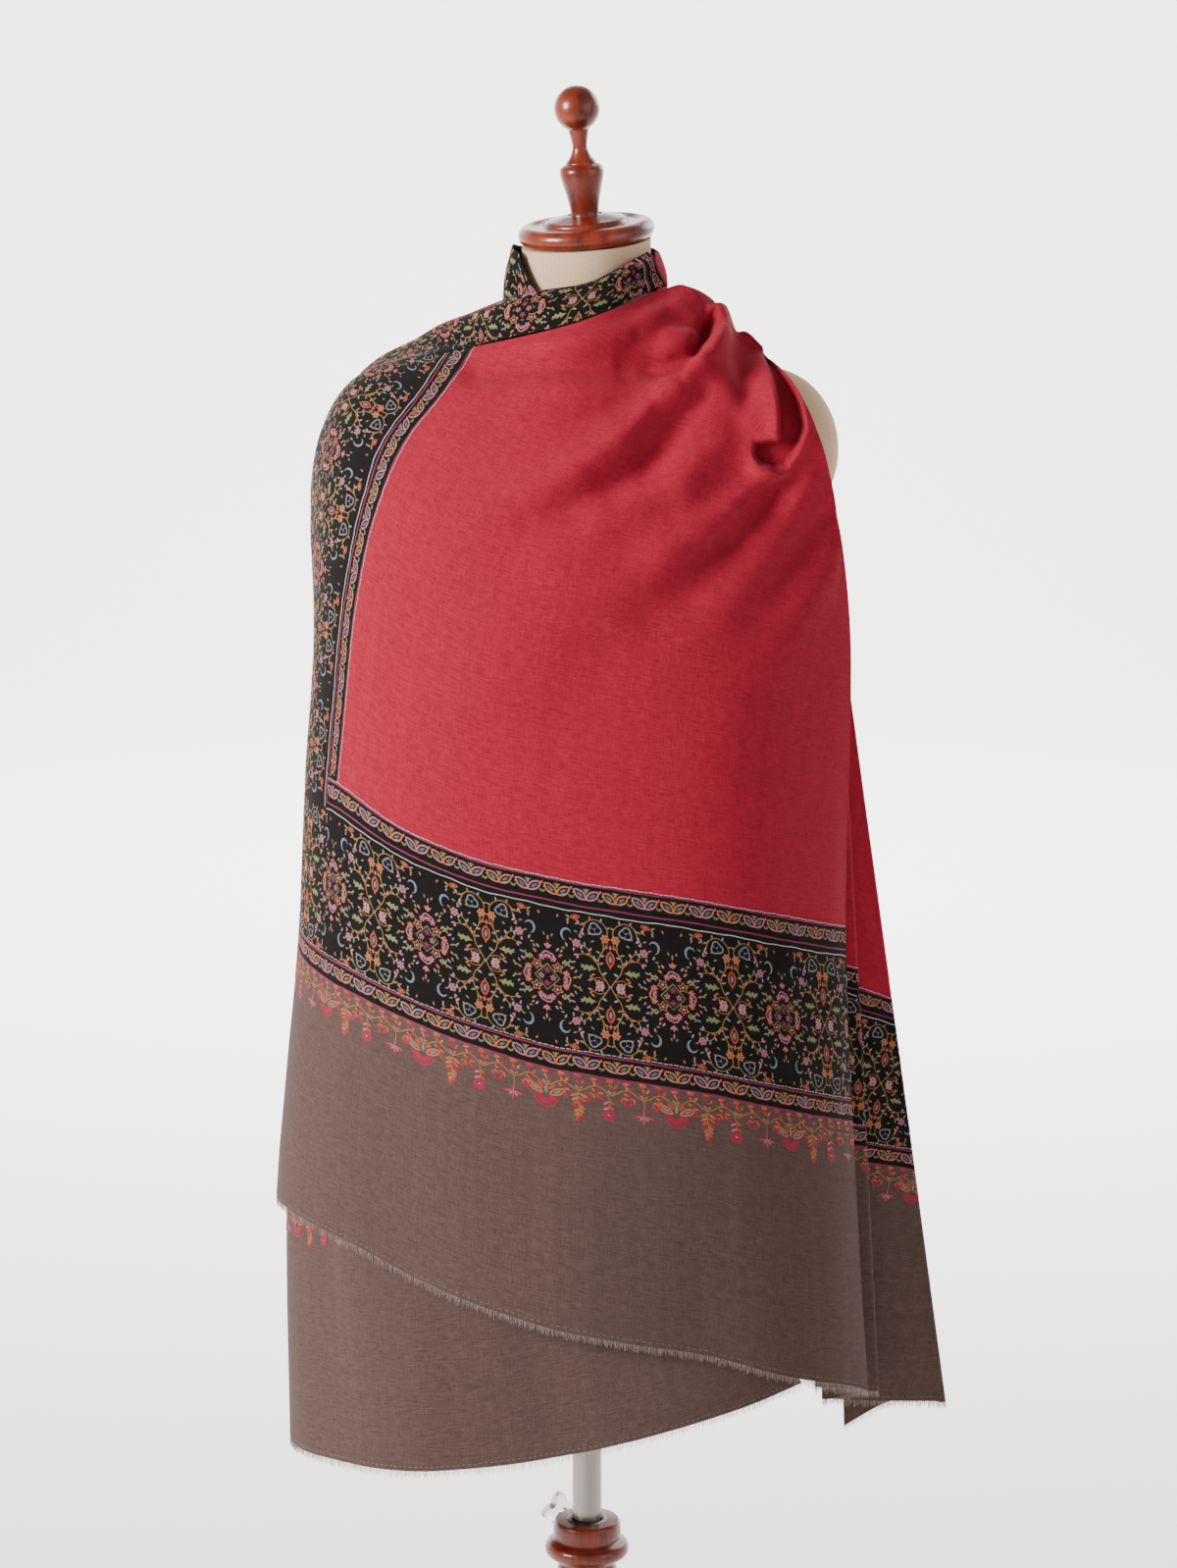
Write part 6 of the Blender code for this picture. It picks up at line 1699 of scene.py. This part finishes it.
def build_stand(wood, steel, dark, clear):
    base = [(0.0, 0.0), (0.169, 0.0)] + arc(0.167, 0.010, 0.008, -80, 80, 14)
    base += softened([(0.160, 0.0185), (0.140, 0.0212), (0.105, 0.0250), (0.075, 0.0283), (0.052, 0.0300)], 5)
    base += [(0.0, 0.0300)]
    post = [(0.0, 0.0303), (0.0460, 0.0303)]
    post += softened([(0.0465, 0.0310), (0.0480, 0.040), (0.0420, 0.052), (0.0300, 0.062), (0.0260, 0.080),
                      (0.0290, 0.110), (0.0220, 0.150), (0.0205, 0.180), (0.0240, 0.215), (0.0330, 0.262),
                      (0.0350, 0.290), (0.0310, 0.325), (0.0235, 0.352), (0.0225, 0.362)])
    post += softened([(0.0232, 0.3640), (0.0260, 0.370), (0.0240, 0.377)])
    post += [(0.0262, 0.3810)] + arc(0.0285, 0.3905, 0.0080, -78, 78, 16)
    post += softened([(0.0288, 0.3995), (0.0294, 0.4060), (0.0288, 0.4130), (0.0270, 0.4158)])
    seat, seat_up = LINER_OUTER + 0.0003, LINER_FOOT - 0.0003
    post += [(seat, SOCKET_TOP), (seat, seat_up), (BORE, seat_up), (BORE, 0.10), (0.0, 0.10)]
    ring = [(BORE, LINER_FOOT), (LINER_OUTER, LINER_FOOT), (LINER_OUTER, SOCKET_TOP),
            (LINER_OUTER - 0.0008, SOCKET_TOP + 0.0006), (BORE + 0.0008, SOCKET_TOP + 0.0006),
            (BORE, SOCKET_TOP - 0.0004), (BORE, LINER_FOOT)]
    pole = [(0.0, POLE_FOOT), (POLE_RADIUS - 0.001, POLE_FOOT), (POLE_RADIUS, POLE_FOOT + 0.001),
            (POLE_RADIUS, POLE_HEAD - 0.001), (POLE_RADIUS - 0.001, POLE_HEAD), (0.0, POLE_HEAD)]
    dress(lathe("base_turned", base, 128, wood), "stand_base", "stand")
    dress(lathe("post_turned", post, 96, wood), "stand_post", "stand")
    dress(lathe("liner_ring", ring, 72, dark), "socket_liner", "stand")
    dress(lathe("pole_tube", pole, 64, steel), "form_pole", "pole")
    dress(build_knob(clear), "clamp_knob", "knob")


def build_knob(clear):
    """A lobed knob on its screw, from the bore outward."""
    outward = drape_point(math.sin(KNOB_BEARING), math.cos(KNOB_BEARING), 0.0)
    turn = Vector(outward).to_track_quat("Z", "Y").to_matrix().to_4x4()
    matrix = Matrix.Translation((0, 0, KNOB_HEIGHT)) @ turn
    sides = 72
    rim = [KNOB_RADIUS * (0.80 + 0.20 * math.cos(4 * 2 * math.pi * k / sides)) for k in range(sides)]
    rows = [([radius] * sides, up) for radius, up in (
        (0.0030, BORE - 0.0003), (0.0030, 0.0316), (0.0046, 0.0320), (0.0055, KNOB_AWAY - 0.0070))]
    for k in range(13):
        a = math.radians(-90 + 180 * k / 12)
        share = 0.62 + 0.38 * math.cos(a) ** 0.6 if abs(math.cos(a)) > 1e-6 else 0.62
        rows.append(([max(r * share, 0.0072) for r in rim], KNOB_AWAY + 0.0065 * math.sin(a)))
    points = [tuple(matrix @ Vector(polar(0.0, 0.0, radius, 360.0 * k / sides) + (up,)))
              for radii, up in rows for k, radius in enumerate(radii)]
    obj = make_mesh("knob_moulded", points, capped_rings(len(rows), sides), [clear])
    obj.data.set_sharp_from_angle(angle=math.radians(40))
    return obj


def build_form(linen, wood):
    sides = 112
    ups = np.concatenate([np.linspace(FORM_BOTTOM, 1.35, 50), np.linspace(1.356, 1.447, 24),
                          np.linspace(1.451, NECK_TOP, 14)])
    angles = 2 * math.pi * np.arange(sides) / sides
    s, c = np.sin(angles), np.cos(angles)
    points = []
    for up in ups:
        half, front, back = (float(table_value(FORM_SECTIONS, "up", name, up))
                             for name in ("half", "front", "back"))
        deep = np.where(s < 0, front, back)
        r = ((np.abs(c) / half) ** FORM_SQUARE + (np.abs(s) / deep) ** FORM_SQUARE) ** (-1 / FORM_SQUARE)
        lean = float(smooth((up - NECK_FOOT) / (NECK_TOP - NECK_FOOT))) * math.tan(CAP_TILT)
        points += [(r[k] * c[k], r[k] * s[k], up + r[k] * s[k] * lean) for k in range(sides)]
    faces = capped_rings(len(ups), sides)
    rings, around = 36, 64
    for sign in (1, -1):
        faces += ring_faces(rings + 1, around, len(points))
        for i in range(rings + 1):
            b = math.pi * i / rings
            points += [(sign * ARM_CENTRE[0] + ARM_HALF[0] * math.sin(b) * math.cos(2 * math.pi * k / around),
                        ARM_CENTRE[1] + ARM_HALF[1] * math.sin(b) * math.sin(2 * math.pi * k / around),
                        ARM_CENTRE[2] - ARM_HALF[2] * math.cos(b)) for k in range(around)]
    torso = make_mesh("torso_linen", points, faces, [linen])
    torso.data.set_sharp_from_angle(angle=math.radians(60))
    dress(torso, "form_torso", "form")
    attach(arm_seams(linen), "form")
    seat = Matrix.Translation((0, 0, NECK_TOP)) @ Matrix.Rotation(CAP_TILT, 4, "X")
    cap = [(0.0, 0.0004), (0.0500, 0.0004)] + arc(0.0482, 0.0082, 0.0078, -78, 84, 18)
    cap += softened([(0.0470, 0.0159), (0.0450, 0.0152), (0.0430, 0.0142)], 4)
    cap += softened([(0.0415, 0.0139), (0.0350, 0.0144), (0.0325, 0.0180), (0.0250, 0.0202),
                     (0.0172, 0.0221), (0.0142, 0.0224)])
    cap += [(0.0137, 0.0220), (0.0137, 0.0190), (0.0, 0.0190)]
    finial = [(0.0, 0.0), (0.0128, 0.0)]
    finial += softened([(0.0132, 0.0006), (0.0132, 0.0020), (0.0118, 0.0030), (0.0119, 0.0080),
                        (0.0140, 0.0190), (0.0170, 0.0310), (0.0179, 0.0370), (0.0168, 0.0415),
                        (0.0124, 0.0440)])
    finial += softened([(0.0122, 0.0442), (0.0119, 0.0458), (0.0092, 0.0490), (0.0062, 0.0560),
                        (0.0064, 0.0620), (0.0086, 0.0725)])
    finial += arc(0.0, 0.0884, 0.0185, -62, 90, 22)
    dress(lathe("cap_turned", cap, 96, wood, seat), "neck_cap", "form")
    seat = seat @ Matrix.Translation((0, 0, FINIAL_FOOT))
    dress(lathe("finial_turned", finial, 64, wood, seat), "neck_finial", "form")


def arm_seams(linen):
    """A fine seam round each armhole, where the arm cap leaves the trunk."""
    points, faces = [], []
    around, tube = 72, 6
    bend = math.pi * np.arange(200) / 199
    for sign in (1, -1):
        start = len(points)
        lines = []
        for k in range(around):
            a = 2 * math.pi * k / around
            way = np.stack([np.cos(bend), np.sin(bend) * math.cos(a), np.sin(bend) * math.sin(a)], axis=-1)
            places = np.array(ARM_CENTRE) + np.array(ARM_HALF) * way
            lines.append(places[int((form_level(places) < 0.0).argmax())])
        for k, q in enumerate(lines):
            t = lines[(k + 1) % around] - lines[k - 1]
            t = t / max(np.linalg.norm(t), 1e-9)
            out = q - np.array([0.10, ARM_CENTRE[1], ARM_CENTRE[2]])
            out = out - t * (out @ t)
            out /= np.linalg.norm(out)
            side_way = np.cross(t, out)
            for n in range(tube):
                a = 2 * math.pi * n / tube
                r = q + (out * math.cos(a) + side_way * math.sin(a)) * SEAM_RADIUS
                points.append((sign * r[0], r[1], r[2]))
        for k in range(around):
            low, high = start + k * tube, start + (k + 1) % around * tube
            for n in range(tube):
                w = (n + 1) % tube
                faces.append((low + n, high + n, high + w, low + w))
    return make_mesh("armhole_seams", points, faces, [linen])


def build_stage():
    """A pale floor that curves up into a wall all round."""
    profile = [(2.0, 0.0), (5.0, 0.0), (8.0, 0.0)] + arc(8.0, 4.0, 4.0, -85, 0, 17) + [(12.0, 9.0)]
    sides = 96
    points = [(0.0, 0.0, FLOOR_UP)]
    for radius, up in profile:
        points += [polar(0.0, 0.0, radius, 360.0 * k / sides) + (up + FLOOR_UP,) for k in range(sides)]
    faces = [(0, 1 + k, 1 + (k + 1) % sides) for k in range(sides)]
    faces += [tuple(reversed(face)) for face in ring_faces(len(profile), sides, 1)]
    pale = plain_material("pale_floor", 0.95, 0.1, (0.80, 0.780, 0.775), (0.82, 0.800, 0.795), 0.8, 2.0)
    make_mesh("floor", points, faces, [pale])


# Lights: place and target in the drape's frame, size, watts, colour
LIGHTS = (
    ("key", (-2.5, 1.5, 2.15), (0, 0, 1.15), 1.1, 203, (1.0, 0.985, 0.975)),
    ("fill", (3.2, 2.2, 1.8), (0, 0, 1.05), 2.6, 26, (1, 1, 1)),
    ("rim", (2.4, -2.6, 3.0), (0, 0, 1.05), 2.0, 55, (1, 1, 1)),
    ("sweep", (0.0, -4.2, 6.0), (0.0, -9.5, 0.8), 4.0, 2900, (1.0, 0.98, 0.97)),
)


def aimed(name, data, place, way):
    """An object that looks along a direction from a place."""
    obj = bpy.data.objects.new(name, data)
    obj.location = place
    obj.rotation_euler = Vector(way).to_track_quat("-Z", "Y").to_euler()
    bpy.context.scene.collection.objects.link(obj)
    return obj


def build_light():
    world = bpy.data.worlds.new("studio")
    bpy.context.scene.world = world
    world.use_nodes = True
    back = world.node_tree.nodes["Background"]
    back.inputs["Color"].default_value = (1.0, 0.99, 0.985, 1.0)
    back.inputs["Strength"].default_value = 0.36
    for name, place, target, size, energy, colour in LIGHTS:
        data = bpy.data.lights.new(name, "AREA")
        data.energy, data.size, data.color = energy, size, colour
        place = drape_point(*place)
        aimed(name, data, place, drape_point(*target) - place)


def build_camera():
    cam = bpy.data.cameras.new("camera")
    cam.sensor_fit, cam.sensor_width = "AUTO", SENSOR
    cam.lens = FOCAL_PIXELS / PHOTO_HIGH * SENSOR
    cam.shift_x = SHIFT_PIXELS / PHOTO_HIGH
    cam.clip_start, cam.clip_end = 0.05, 60.0
    look = -drape_point(0.0, math.cos(CAMERA_PITCH), 0.0) - np.array([0, 0, math.sin(CAMERA_PITCH)])
    bpy.context.scene.camera = aimed("camera", cam, drape_point(0.0, CAMERA_AWAY, CAMERA_UP), look)


# Each stretch of cloth: the solid that it stands for, its material slot, and whether its first row is
# a level edge
CLOTH = {
    "front": ("shawl_front", "red_pashmina", True), "under": ("shawl_under", "taupe_pashmina", True),
    "back": ("shawl_back", "red_pashmina", True), "fall": ("shawl_fall", "red_pashmina", False),
    "band": ("shawl_neck_band", "black_pashmina", False), "collar": ("shawl_collar", "black_pashmina", False),
}
FRINGE_SEEDS = dict(front=3, under=4, back=5, fall=6)


def build_cloth():
    front = front_sheet()
    back = back_sheet(front)
    under = under_sheet(back)
    sheets = dict(front=front, under=under, back=back, fall=fall_sheet(front), band=band_sheet(front),
                  collar=collar_sheet(back, under))
    for sheet in sheets.values():
        sheet["normals"] = grid_normals(sheet["p"])
    wool = cloth_material("shawl_wool")
    cloths = {name: shell(sheets[name], "cloth_" + name, wool, level_top)
              for name, (_, _, level_top) in CLOTH.items()}
    threads = []
    for name in THREAD_ORDER:
        dark, light = toned(THREADS[name], 0.62), toned(THREADS[name], 1.32)
        threads.append(plain_material("thread_" + name, 0.62, 0.22, dark, light, 1400.0))
    work = embroider(sheets, threads)
    cut = plain_material("fringe_thread", 0.9, 0.5, (0.180, 0.130, 0.112), (0.41, 0.330, 0.295), 420.0)
    fringes = {name: fringe(sheets[name], "fringe_threads_" + name, cut, seed)
               for name, seed in FRINGE_SEEDS.items()}
    for name, (node, slot, _) in CLOTH.items():
        dress(cloths[name], node, "form")
        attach(work[name], "form")
        if name in fringes:
            dress(fringes[name], "fringe_" + name, "form")
        p = sheets[name]["p"]
        wide = round(float(run_length(p, 0)[-1].mean()), 3)
        long = round(float(run_length(p, 1)[:, -1].mean()), 3)


def main():
    wood = mahogany_material()
    steel = metal_material("steel_satin", (0.31, 0.275, 0.255), 0.27)
    dark = metal_material("steel_dark", (0.14, 0.14, 0.14), 0.42)
    clear = plain_material("acrylic_clear", 0.05, 0.5, (0.88, 0.90, 0.90), (0.97, 0.98, 0.98), 90.0, 2.0,
                           **{"Transmission Weight": 0.92, "IOR": 1.49})
    build_stand(wood, steel, dark, clear)
    build_form(linen_material(), wood)
    build_cloth()
    build_stage()
    build_light()
    build_camera()


main()
